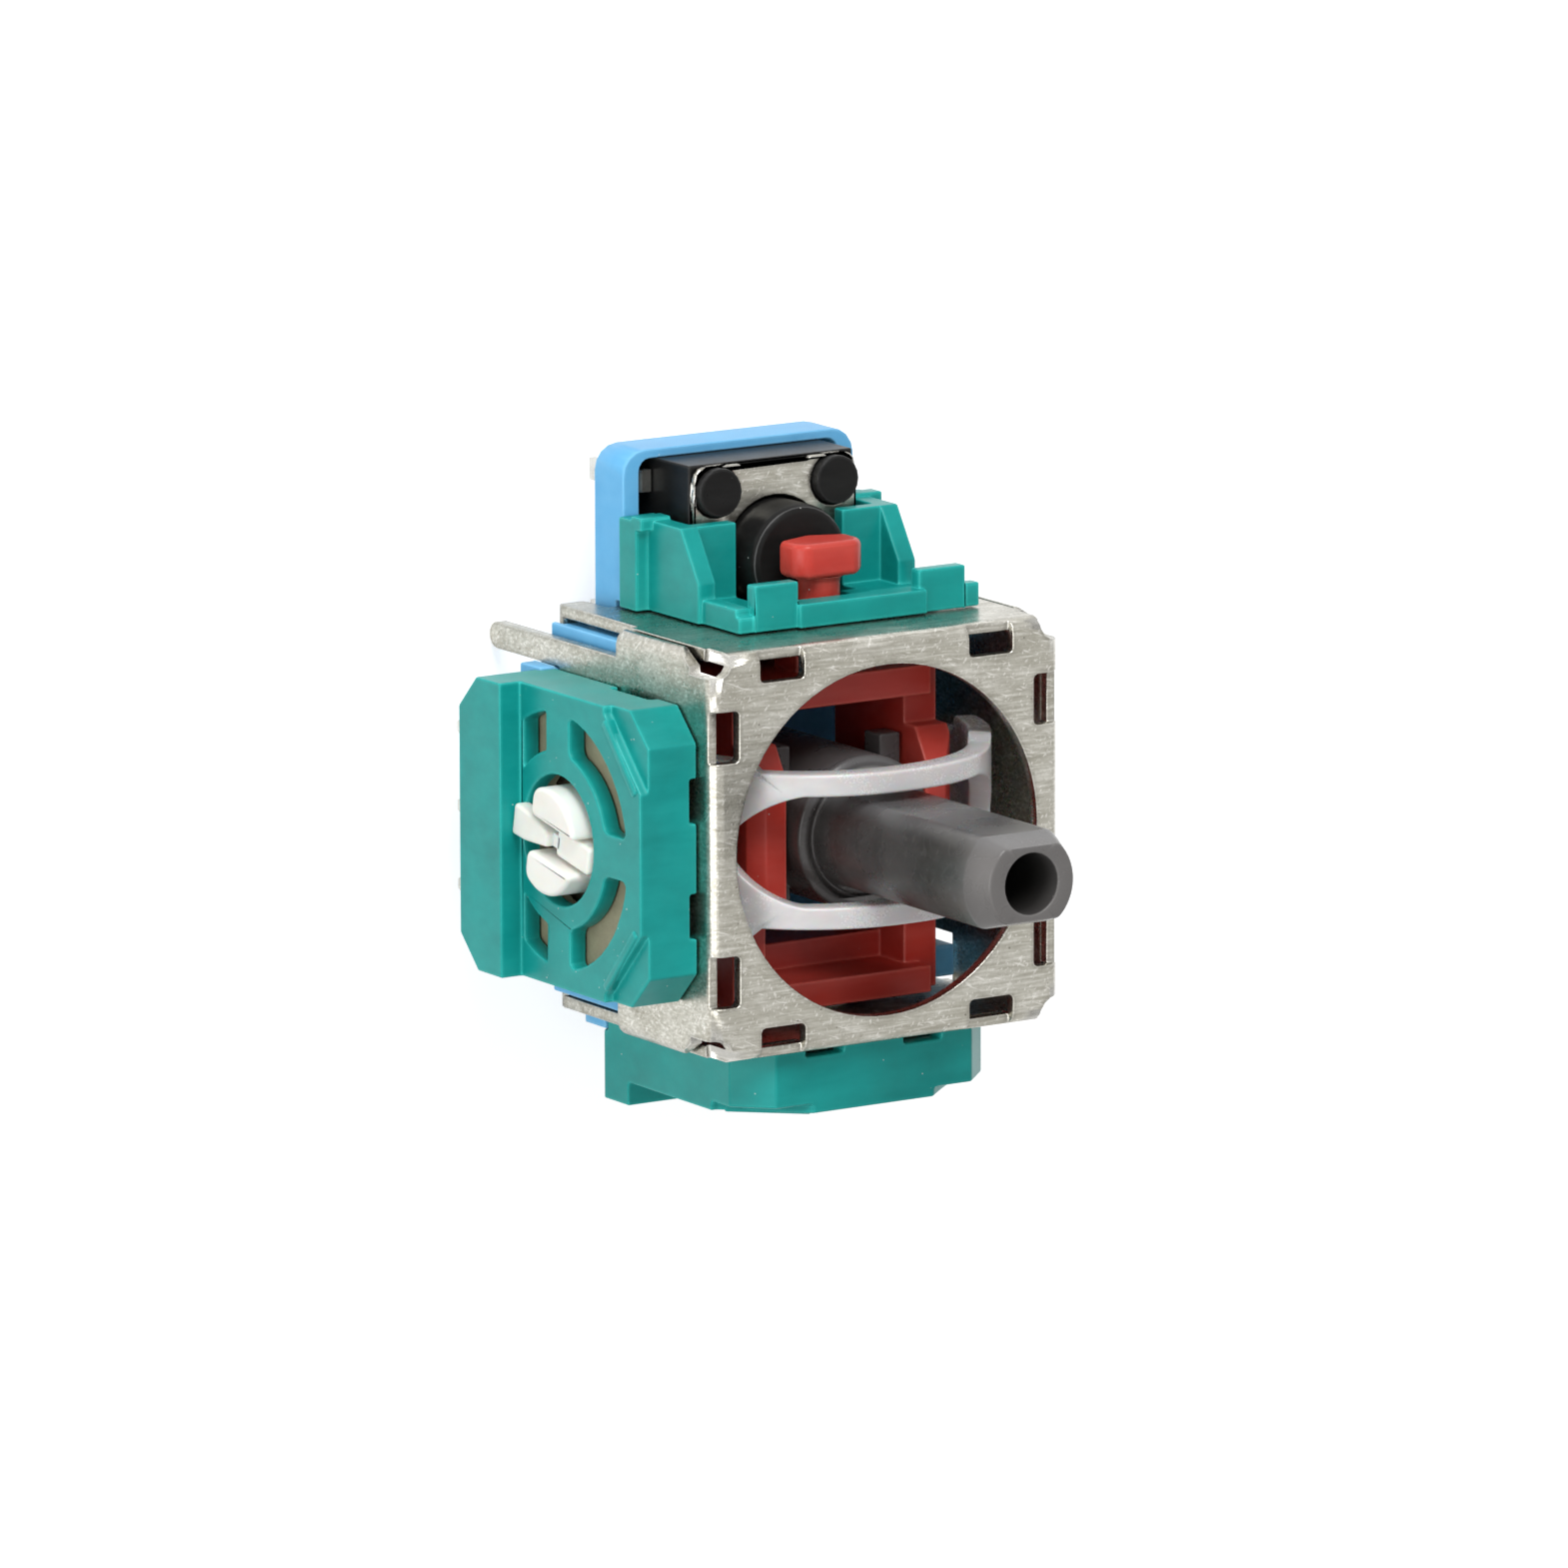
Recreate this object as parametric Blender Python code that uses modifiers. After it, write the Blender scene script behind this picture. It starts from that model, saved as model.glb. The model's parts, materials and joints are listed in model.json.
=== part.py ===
"""Thumb stick module of a game controller, at real size, in metres.

The stick stands along +Z. The origin is on the stick's axis, in the plane of the
base's underside, where the module sits on its circuit board. +Y is the side of
the press switch, and -X and -Y are the sides of the two position sensors.
"""
import math

import bmesh
import bpy
from mathutils import Matrix, Vector

MM = 0.001

# Fits
SEAT_GAP = 0.05 * MM
RUN_GAP = 0.10 * MM
CUT_OVER = 0.5 * MM
TILT = math.radians(20.0)

# Folded steel frame
FRAME_WIDTH = 12.8 * MM
FRAME_TOP = 10.2 * MM
SHEET = 0.4 * MM
BEND = 0.45 * MM
HOLE_DIAMETER = 11.0 * MM
SLOT_CENTRE = 3.82 * MM
SLOT_LENGTH = 1.6 * MM
SLOT_DEPTH = 1.0 * MM
SLOT_CORNER = 0.15 * MM
SLOT_CAP_DROP = 0.28 * MM
CORNER_RELIEF = 0.62 * MM
CORNER_INSET = 0.15 * MM
CORNER_DROP = 1.3 * MM
WALL_FOOT = 1.35 * MM
WALL_CORNER = 4.65 * MM
WALL_SPAN = 4.6 * MM
LEG_WIDTH = 0.85 * MM
LEG_CENTRE = 5.12 * MM
LEG_REACH = 2.8 * MM
HOOK_WIDTH = 1.0 * MM
HOOK_CENTRE = 5.1 * MM
HOOK_REACH = 1.2 * MM

# Gimbal
PIVOT_HEIGHT = 4.6 * MM
HUB_RADIUS = 2.45 * MM
HUB_BELOW = 1.7 * MM
HUB_ABOVE = 4.4 * MM
HUB_EDGE = 0.35 * MM
TRUNNION_RADIUS = 0.8 * MM
SHAFT_RADIUS = 1.88 * MM
SHAFT_FLAT = 1.43 * MM
TIP_RADIUS = 1.52 * MM
TIP_FLAT = 1.16 * MM
TIP_TAPER = 0.9 * MM
TIP_RISE = 8.0 * MM
TIP_BORE = 1.9 * MM
TIP_BORE_DEPTH = 3.0 * MM
SPRING_BORE = 1.3 * MM
SPRING_BORE_TOP = 2.4 * MM
EAR_THICK = 0.75 * MM
EAR_NEAR = 0.9 * MM
EAR_PROUD = 0.2 * MM
EAR_LOW = 1.7 * MM
EAR_HIGH = 2.6 * MM

CRADLE_WALL = 1.2 * MM
CRADLE_BELOW = 1.4 * MM
CRADLE_RAIL = 2.57 * MM
CRADLE_BOSS = 3.8 * MM
CRADLE_BOSS_FLAT = 1.9 * MM
CRADLE_END = 3.3 * MM
CRADLE_END_WIDTH = 6.2 * MM
CRADLE_REAR_WALL = 0.85 * MM
CRADLE_REAR_GAP = 0.45 * MM
CRADLE_STEP = 0.85 * MM
CRADLE_STEP_TOP = 1.2 * MM
CRADLE_TAB_WALL = 0.95 * MM
CRADLE_SHOULDER = 2.9 * MM
CRADLE_SHOULDER_TOP = 3.2 * MM

YOKE_SIDE_GAP = 0.26 * MM
YOKE_END = 0.6 * MM
YOKE_BAND = 0.85 * MM
YOKE_RISE = 6.8 * MM
YOKE_BELOW = 1.3 * MM
YOKE_SLOT = 3.46 * MM
YOKE_RAIL = 0.7 * MM
YOKE_SLOT_FOOT = 2.65 * MM
YOKE_SLOT_CORNER = 1.0 * MM
YOKE_END_WIDTH = 5.54 * MM
YOKE_END_LOW = 1.7 * MM
YOKE_LEG_WIDTH = 4.4 * MM
YOKE_SQUARENESS = 2.2
YOKE_JOURNAL = 1.2 * MM

# Tab that presses the switch
NECK_RADIUS = 0.65 * MM
NECK_GAP = 0.35 * MM
TAB_WIDTH = 2.5 * MM
TAB_THICK = 1.75 * MM
TAB_LENGTH = 1.1 * MM
TAB_OFFSET = 0.3 * MM
TAB_CORNER = 0.35 * MM
SHELF_GAP = 0.2 * MM

# Return spring and its foot
FOOT_RADIUS = 1.8 * MM
FOOT_DISC = 0.45 * MM
FOOT_STEM = 1.75 * MM
FOOT_PIP_RADIUS = 0.7 * MM
FOOT_PIP = 0.7 * MM
FOOT_PIP_EDGE = 0.2 * MM
SPRING_WIRE = 0.32 * MM
SPRING_RADIUS = 1.0 * MM
SPRING_TURNS = 5
SPRING_CLOSED_SHARE = 0.12

# Base
BASE_GAP = 0.15 * MM
BASE_FLOOR = 1.2 * MM
DISH_FLOOR = 0.6 * MM
DISH_GAP = 0.25 * MM
POST_WIDTH = 1.0 * MM
POST_HEIGHT = 5.0 * MM
FLANGE_OUT = 7.0 * MM
FLANGE_SPAN = 9.4 * MM
LEAD_ROOM = 0.16 * MM
POCKET_WALL = 0.6 * MM
POCKET_RIM = 1.7 * MM
POCKET_FLOOR = 0.25 * MM
POCKET_CORNER = 0.8 * MM
POCKET_MARGIN = 0.3 * MM

# Press switch
SWITCH_SIZE = 6.0 * MM
SWITCH_OUT = 1.6 * MM
SWITCH_BODY = 3.25 * MM
SWITCH_PLATE = 0.25 * MM
PLUNGER_RADIUS = 1.75 * MM
PLUNGER_RISE = 1.5 * MM
PLUNGER_FLANGE = 2.1 * MM
RIVET_RADIUS = 0.77 * MM
RIVET_INSET = 0.85 * MM
RIVET_RISE = 0.28 * MM
PLUNGER_EDGE = 0.25 * MM
PLATE_NOTCH = 1.3 * MM
PLATE_CORNER = 0.35 * MM
DOME_RADIUS = 1.9 * MM
DOME_RISE = 0.45 * MM
DOME_SHEET = 0.12 * MM
CAVITY_FLOOR = 1.0 * MM
LEAD_WIDTH = 0.7 * MM
LEAD_SHEET = 0.22 * MM
LEAD_INSET = 0.75 * MM
LEAD_HEIGHT = 0.9 * MM
LEAD_REACH = 1.5 * MM

# Switch bracket
BRACKET_FLOOR = 0.5 * MM
BRACKET_SIDE = 0.85 * MM
BRACKET_FRONT = 7.75 * MM
BRACKET_WALL = 0.5 * MM
BRACKET_TOP = 2.85 * MM
BRACKET_REACH = 1.0 * MM
BRACKET_ROOM = 0.15 * MM
RIM_RISE = 0.25 * MM
RIM_DEEP = 0.7 * MM
RIM_NOSE = 0.2 * MM
RIM_LEFT = -1.74 * MM
RIM_RIGHT = 2.95 * MM
TAB_DEEP = 0.48 * MM
LEFT_TAB_OUT = -3.27 * MM
LEFT_TAB_TOP = 1.45 * MM
RIGHT_TAB_IN = 2.75 * MM
RIGHT_TAB_OUT = 4.45 * MM
RIGHT_TAB_TOP = 1.35 * MM
RIGHT_STEP_OUT = 5.0 * MM
RIGHT_STEP_TOP = 0.75 * MM
GUSSET_NEAR = 0.35 * MM
GUSSET_DEEP = 1.02 * MM
GUSSET_FALL = 1.6 * MM
WING_OUT = 1.45 * MM
WING_THICK = 1.0 * MM
WING_RISE = 0.12 * MM
WING_CAP = 0.3 * MM

# Position sensors
POT_WIDTH = 9.3 * MM
POT_ABOVE = 4.8 * MM
POT_CHAMFER = 1.05 * MM
POT_FACE = 8.5 * MM
POT_SKIN = 0.6 * MM
POT_SIDE = 0.65 * MM
POT_BLOCK_OUT = 9.25 * MM
POT_BLOCK_TOP = 2.45 * MM
RING_HOLE = 2.05 * MM
RING_RADIUS = 2.8 * MM
WINDOW_RADIUS = 4.0 * MM
RIB_WIDTH = 1.35 * MM
RECESS_NEAR = 2.2 * MM
RECESS_FAR = 4.4 * MM
RECESS_DOWN = 2.1 * MM
RECESS_DEPTH = 0.3 * MM
NOTCH_NEAR = 1.1 * MM
NOTCH_FAR = 2.5 * MM
NOTCH_DEPTH = 0.25 * MM
CLIP_LOW = 0.3 * MM
CLIP_HIGH = 2.6 * MM
CLIP_DEPTH = 0.3 * MM
BOARD_SHEET = 0.4 * MM
BOARD_HOLE = 2.25 * MM
ROTOR_JOURNAL = 1.8 * MM
DISC_ROOM = 0.3 * MM
ROTOR_DISC_SHEET = 0.5 * MM
ROTOR_PRONG = 1.7 * MM
ROTOR_SLOT = 1.1 * MM
ROTOR_OUT = 9.0 * MM
STUB_SIZE = 1.6 * MM
STUB_LENGTH = 1.7 * MM
KEY_WIDTH = 0.75 * MM
KEY_REACH = 1.95 * MM
WIPER_SHEET = 0.15 * MM
WIPER_INSET = 0.2 * MM
FINGER_NEAR = 2.3 * MM
FINGER_FAR = 2.75 * MM
FINGER_WIDTH = 1.0 * MM
PIN_PITCH = 2.5 * MM
PIN_WIDTH = 0.6 * MM
PIN_SHEET = 0.25 * MM
PIN_REACH = 1.9 * MM
PIN_TOP = 1.9 * MM

# Worked out from the sizes above
HALF = FRAME_WIDTH / 2
INNER = HALF - SHEET
CEILING = FRAME_TOP - SHEET
TIP_HEIGHT = FRAME_TOP + TIP_RISE
YOKE_OUT = INNER - YOKE_SIDE_GAP
YOKE_IN = YOKE_OUT - YOKE_END
CRADLE_SWEEP = YOKE_IN - RUN_GAP
CRADLE_IN = HUB_RADIUS + RUN_GAP
CRADLE_OUT = CRADLE_IN + CRADLE_WALL
SWITCH_Y = HALF + SWITCH_OUT
SWITCH_NEAR = SWITCH_Y - SWITCH_SIZE / 2
SWITCH_FAR = SWITCH_Y + SWITCH_SIZE / 2
SWITCH_FOOT = POCKET_FLOOR + SEAT_GAP
SWITCH_DECK = SWITCH_FOOT + SWITCH_BODY
SWITCH_TOP = SWITCH_DECK + SWITCH_PLATE
PLUNGER_TOP = SWITCH_TOP + PLUNGER_RISE
RIVET_PITCH = SWITCH_SIZE - 2 * RIVET_INSET
LEAD_PITCH = SWITCH_SIZE - 2 * LEAD_INSET
LEAD_X = SWITCH_SIZE / 2 + 2 * LEAD_SHEET + SEAT_GAP
POCKET_WIDTH = 2 * (LEAD_X + LEAD_ROOM + POCKET_WALL)
NECK_RISE = PLUNGER_TOP + NECK_GAP + NECK_RADIUS - PIVOT_HEIGHT
TAB_TOP = PLUNGER_TOP + RUN_GAP + TAB_THICK - PIVOT_HEIGHT
CRADLE_TAB_END = SWITCH_NEAR - BASE_GAP
CRADLE_REAR_END = -INNER + CRADLE_REAR_GAP
TAB_Y = SWITCH_Y + TAB_OFFSET
BASE_HALF = INNER - BASE_GAP
DISH_RADIUS = PIVOT_HEIGHT - DISH_FLOOR
FOOT_DROP = math.sqrt((DISH_RADIUS - DISH_GAP) ** 2 - FOOT_RADIUS**2)
FOOT_LOW = PIVOT_HEIGHT - FOOT_DROP
FOOT_TOP = FOOT_LOW + FOOT_DISC + FOOT_STEM
BRACKET_Y = HALF + SEAT_GAP
BRACKET_FLOOR_TOP = BRACKET_Y + BRACKET_FLOOR
BRACKET_HALF = SWITCH_SIZE / 2 + BRACKET_SIDE
BRACKET_OPEN = PLUNGER_RADIUS + BRACKET_ROOM
POT_SEAT = HALF + SEAT_GAP
POT_INSIDE = POT_FACE - POT_SKIN
BOARD_FACE = POT_INSIDE - SEAT_GAP
BOARD_BACK = BOARD_FACE - BOARD_SHEET
ROTOR_DISC = PIVOT_HEIGHT - BASE_FLOOR - DISC_ROOM
WIPER_RADIUS = ROTOR_DISC - WIPER_INSET
ROTOR_DISC_BACK = HALF + RUN_GAP
ROTOR_DISC_FACE = ROTOR_DISC_BACK + ROTOR_DISC_SHEET
ROTOR_INNER_END = YOKE_OUT + RUN_GAP
SOCKET_DEPTH = ROTOR_INNER_END + STUB_LENGTH + RUN_GAP
NECK_SWING = NECK_RISE * math.sin(TILT)
NECK_SLOT = NECK_SWING + NECK_RADIUS + RUN_GAP
NECK_SLOT_TOP = PIVOT_HEIGHT + NECK_RISE + NECK_RADIUS + 2 * RUN_GAP
ROCK_TRAVEL = 0.25 * MM

COLORS = {
    "steel": ((0.62, 0.59, 0.54), 0.32, 1.0),
    "green": ((0.012, 0.36, 0.29), 0.42, 0.0),
    "blue": ((0.12, 0.42, 0.80), 0.45, 0.0),
    "red": ((0.70, 0.07, 0.05), 0.45, 0.0),
    "white": ((0.80, 0.80, 0.77), 0.45, 0.0),
    "arm": ((0.66, 0.66, 0.66), 0.40, 0.0),
    "lever": ((0.15, 0.145, 0.14), 0.38, 0.0),
    "black": ((0.012, 0.012, 0.013), 0.45, 0.0),
    "tin": ((0.70, 0.69, 0.66), 0.28, 1.0),
    "tan": ((0.33, 0.28, 0.20), 0.60, 0.0),
    "spring": ((0.55, 0.55, 0.56), 0.25, 1.0),
}

XY = Matrix.Identity(4)
XZ = Matrix(((1, 0, 0, 0), (0, 0, -1, 0), (0, 1, 0, 0), (0, 0, 0, 1)))
YZ = Matrix(((0, 0, 1, 0), (1, 0, 0, 0), (0, 1, 0, 0), (0, 0, 0, 1)))
ZY = Matrix(((-1, 0, 0, 0), (0, 0, 1, 0), (0, 1, 0, 0), (0, 0, 0, 1)))


def clear_scene():
    """Remove every object that the file holds."""
    for obj in list(bpy.data.objects):
        bpy.data.objects.remove(obj, do_unlink=True)


def make_collection(name):
    collection = bpy.data.collections.new(name)
    bpy.context.scene.collection.children.link(collection)
    return collection


def finish(name, color):
    """Give a named piece its own material."""
    base, roughness, metallic = COLORS[color]
    material = bpy.data.materials.new(name + "_material")
    material.use_nodes = True
    shader = material.node_tree.nodes["Principled BSDF"]
    shader.inputs["Base Color"].default_value = (*base, 1.0)
    shader.inputs["Roughness"].default_value = roughness
    shader.inputs["Metallic"].default_value = metallic
    return material


def as_object(name, mesh):
    """Link a mesh as a working solid; it counts as a tool until it is kept."""
    obj = bpy.data.objects.new(name, mesh)
    TOOLS.objects.link(obj)
    obj.display_type = "WIRE"
    obj.hide_render = True
    return obj


def from_bmesh(name, bm, frame=XY):
    bm.transform(frame)
    mesh = bpy.data.meshes.new(name)
    bm.to_mesh(mesh)
    bm.free()
    return as_object(name, mesh)


def block(low, high, frame=XY, name="block"):
    """A box between two corners."""
    low = Vector(low)
    high = Vector(high)
    bm = bmesh.new()
    size = high - low
    matrix = Matrix.Translation((low + high) / 2) @ Matrix.Diagonal((*size, 1.0))
    bmesh.ops.create_cube(bm, size=1.0, matrix=matrix)
    return from_bmesh(name, bm, frame)


def rod(radius, low, high, frame=XY, at=(0.0, 0.0), sides=32, top=None, name="rod"):
    """A cylinder or cone along the frame's third axis, between two heights."""
    bm = bmesh.new()
    place = Matrix.Translation((at[0], at[1], (low + high) / 2))
    top = radius if top is None else top
    bmesh.ops.create_cone(
        bm, cap_ends=True, segments=sides, radius1=radius, radius2=top, depth=high - low, matrix=place
    )
    return from_bmesh(name, bm, frame)


def along(axis):
    """Frame whose third axis points along +X or +Y, and its second up, from the pivot."""
    turn = {"X": YZ, "Y": ZY}[axis]
    return Matrix.Translation((0, 0, PIVOT_HEIGHT)) @ turn


def slab(loops, low, high, frame=XY, name="slab"):
    """A flat outline, with any holes in it, as thick as high less low.

    The curve is filled in millimetres, where the fill works well, and the mesh
    is brought back to metres.
    """
    curve = bpy.data.curves.new(name, "CURVE")
    curve.dimensions = "2D"
    curve.fill_mode = "BOTH"
    curve.extrude = (high - low) / 2 / MM
    for loop in loops:
        spline = curve.splines.new("POLY")
        spline.points.add(len(loop) - 1)
        for point, (a, b) in zip(spline.points, loop):
            point.co = (a / MM, b / MM, 0.0, 1.0)
        spline.use_cyclic_u = True
    holder = bpy.data.objects.new(name, curve)
    bpy.context.scene.collection.objects.link(holder)
    graph = bpy.context.evaluated_depsgraph_get()
    mesh = bpy.data.meshes.new_from_object(holder.evaluated_get(graph))
    bpy.data.objects.remove(holder, do_unlink=True)
    bpy.data.curves.remove(curve)
    bm = bmesh.new()
    bm.from_mesh(mesh)
    bmesh.ops.remove_doubles(bm, verts=bm.verts, dist=0.0005)
    bmesh.ops.scale(bm, vec=(MM, MM, MM), verts=bm.verts)
    bmesh.ops.translate(bm, vec=(0.0, 0.0, (low + high) / 2), verts=bm.verts)
    bmesh.ops.recalc_face_normals(bm, faces=bm.faces)
    bm.to_mesh(mesh)
    bm.free()
    mesh.transform(frame)
    mesh.materials.clear()
    return as_object(name, mesh)


def turned(profile, steps=32, frame=XY, name="turned"):
    """A solid turned about the frame's third axis; the profile runs top to bottom."""
    mesh = bpy.data.meshes.new(name)
    points = [(r, 0.0, z) for r, z in profile]
    edges = [(i, i + 1) for i in range(len(points) - 1)]
    mesh.from_pydata(points, edges, [])
    obj = as_object(name, mesh)
    screw = obj.modifiers.new("turn", "SCREW")
    screw.axis = "Z"
    screw.steps = steps
    screw.render_steps = steps
    screw.use_merge_vertices = True
    screw.merge_threshold = 1e-6
    bake(obj)
    obj.data.transform(frame)
    return obj


def bake(obj):
    """Turn an object's modifiers into its mesh."""
    graph = bpy.context.evaluated_depsgraph_get()
    mesh = bpy.data.meshes.new_from_object(obj.evaluated_get(graph))
    obj.modifiers.clear()
    old = obj.data
    obj.data = mesh
    bpy.data.meshes.remove(old)


def combine(obj, operation, tools):
    """Join, cut or trim a piece with each tool in turn, and drop the tools."""
    for tool in tools:
        modifier = obj.modifiers.new("form", "BOOLEAN")
        modifier.operation = operation
        modifier.solver = "EXACT"
        modifier.object = tool
        bake(obj)
        bpy.data.objects.remove(tool, do_unlink=True)
    return obj


def join(obj, *tools):
    return combine(obj, "UNION", tools)


def cut(obj, *tools):
    return combine(obj, "DIFFERENCE", tools)


def trim(obj, *tools):
    return combine(obj, "INTERSECT", tools)


def soften(obj, width, angle=50.0, segments=1):
    """Round the edges of a block before it is joined to anything."""
    bevel = obj.modifiers.new("edges", "BEVEL")
    bevel.width = width
    bevel.segments = segments
    bevel.limit_method = "ANGLE"
    bevel.angle_limit = math.radians(angle)
    bake(obj)
    return obj


def keep(obj, name, color, axis_point=None, carrier=None):
    """Name a finished piece, give it its finish and put its origin on its axis."""
    obj.name = name
    obj.data.name = name
    obj.data.materials.clear()
    obj.data.materials.append(finish(name, color))
    TOOLS.objects.unlink(obj)
    PARTS.objects.link(obj)
    obj.display_type = "TEXTURED"
    obj.hide_render = False
    obj.data.shade_smooth()
    obj.data.set_sharp_from_angle(angle=math.radians(35.0))
    if axis_point is not None:
        point = Vector(axis_point)
        obj.data.transform(Matrix.Translation(-point))
        obj.location = point
    if carrier is not None:
        obj.parent = carrier
        obj.matrix_parent_inverse = Matrix.Translation(-world_place(carrier))
    return obj


def world_place(obj):
    """An unturned object's place, through its parents."""
    place = obj.location.copy()
    if obj.parent is not None:
        place += obj.matrix_parent_inverse.translation + world_place(obj.parent)
    return place


def rectangle(a0, b0, a1, b1):
    return [(a0, b0), (a1, b0), (a1, b1), (a0, b1)]


def arc(radius, start, end, count, centre=(0.0, 0.0)):
    """Points on an arc, angles in degrees, both ends included."""
    points = []
    for step in range(count + 1):
        angle = math.radians(start + (end - start) * step / count)
        points.append((centre[0] + radius * math.cos(angle), centre[1] + radius * math.sin(angle)))
    return points


def circle(radius, count, centre=(0.0, 0.0)):
    return arc(radius, 0.0, 360.0, count, centre)[:-1]


def rounded(a0, b0, a1, b1, radius, count=4):
    """A rectangle with round corners."""
    corners = ((a1, b1, 0), (a0, b1, 90), (a0, b0, 180), (a1, b0, 270))
    points = []
    for a, b, start in corners:
        centre = (a - math.copysign(radius, a - (a0 + a1) / 2), b - math.copysign(radius, b - (b0 + b1) / 2))
        points += arc(radius, start, start + 90, count, centre)
    return points


def mirrored(points):
    """A half outline and its mirror image across the second axis."""
    return points + [(-a, b) for a, b in reversed(points)]


def frame_top():
    """The frame's face with its round hole, left oversize for the trim to the bends."""
    edge = HALF + CUT_OVER
    square = rectangle(-edge, -edge, edge, edge)
    return slab([square, circle(HOLE_DIAMETER / 2, 72)], CEILING, FRAME_TOP + CUT_OVER)


def side_wall(side):
    """A wall across X, with its journal hole and, at its +Y end, a round-tipped leg."""
    leg_out = LEG_CENTRE + LEG_WIDTH / 2
    leg_in = LEG_CENTRE - LEG_WIDTH / 2
    edge = HALF + CUT_OVER
    top = CEILING + SHEET / 2
    tip = arc(LEG_WIDTH / 2, 180, 360, 8, (LEG_CENTRE, -LEG_REACH + LEG_WIDTH / 2))
    outline = [(-edge, top), (-edge, WALL_CORNER), (-WALL_SPAN, WALL_CORNER), (-WALL_SPAN, WALL_FOOT)]
    outline += [(leg_in, WALL_FOOT)] + tip + [(leg_out, WALL_CORNER), (edge, WALL_CORNER), (edge, top)]
    radius = YOKE_JOURNAL if side > 0 else ROTOR_JOURNAL
    hole = circle(radius + SEAT_GAP, 40, (0.0, PIVOT_HEIGHT))
    low, high = sorted((side * INNER, side * edge))
    return slab([outline, hole], low, high, YZ)


def end_wall(side):
    """A wall across Y: two hooks that hold the base, and an opening for what crosses it."""
    reach = INNER - BASE_GAP
    edge = HALF + CUT_OVER
    hook_out = HOOK_CENTRE + HOOK_WIDTH / 2
    hook_in = HOOK_CENTRE - HOOK_WIDTH / 2
    half = [(reach, CEILING + SHEET / 2), (reach, WALL_CORNER), (hook_out, WALL_CORNER), (hook_out, SHEET / 2)]
    half += [(hook_in, SHEET / 2), (hook_in, WALL_FOOT)]
    if side > 0:
        wide = SWITCH_SIZE / 2 + 2 * RUN_GAP
        high = SWITCH_TOP + RIVET_RISE + RUN_GAP
        half += [(wide, WALL_FOOT), (wide, high), (NECK_SLOT, high), (NECK_SLOT, NECK_SLOT_TOP)]
    loops = [mirrored(half)]
    if side < 0:
        loops.append(circle(ROTOR_JOURNAL + SEAT_GAP, 40, (0.0, PIVOT_HEIGHT)))
    low, high = sorted((-side * INNER, -side * edge))
    wall = slab(loops, low, high, XZ)
    hook = HOOK_WIDTH / 2 - SEAT_GAP
    for x in (-HOOK_CENTRE, HOOK_CENTRE):
        near, far = sorted((side * (HALF - HOOK_REACH), side * (HALF + CUT_OVER / 2)))
        join(wall, block((x - hook, near, 0.0), (x + hook, far, SHEET)))
    return wall


def cut_slot(frame, offset, place):
    """A slot behind a bend: through the face, and shallow over the wall, whose cap stays."""
    near = HALF - SLOT_DEPTH
    start = offset - SLOT_LENGTH / 2
    end = offset + SLOT_LENGTH / 2
    beyond = HALF + CUT_OVER
    wall = INNER + SEAT_GAP
    step = [(near - CUT_OVER, CEILING - SHEET / 2), (wall, CEILING - SHEET / 2), (wall, FRAME_TOP - SLOT_CAP_DROP)]
    step += [(beyond, FRAME_TOP - SLOT_CAP_DROP), (beyond, FRAME_TOP + CUT_OVER)]
    step.append((near - CUT_OVER, FRAME_TOP + CUT_OVER))
    tool = slab([step], -end - CUT_OVER, CUT_OVER - start, place @ XZ)
    outline = rounded(near, start, beyond + CUT_OVER, end, SLOT_CORNER, 3)
    cut(frame, trim(tool, slab([outline], CEILING - SHEET, FRAME_TOP + 2 * CUT_OVER, place)))


def build_frame():
    """One folded sheet: bends rounded on the outside, eight slots across the bends."""
    frame = frame_top()
    join(frame, side_wall(-1), side_wall(1), end_wall(-1), end_wall(1))
    hull = block((-HALF, -HALF, -2 * LEG_REACH), (HALF, HALF, FRAME_TOP))
    trim(frame, soften(hull, BEND, segments=3))
    for turn in range(4):
        place = Matrix.Rotation(math.pi / 2 * turn, 4, "Z")
        for offset in (-SLOT_CENTRE, SLOT_CENTRE):
            cut_slot(frame, offset, place)
    at = HALF - CORNER_INSET
    for corner in ((-at, -at), (-at, at), (at, -at), (at, at)):
        cut(frame, rod(CORNER_RELIEF, FRAME_TOP - CORNER_DROP, FRAME_TOP + CUT_OVER, at=corner, sides=16))
    return keep(frame, "steel_frame", "steel")


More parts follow.
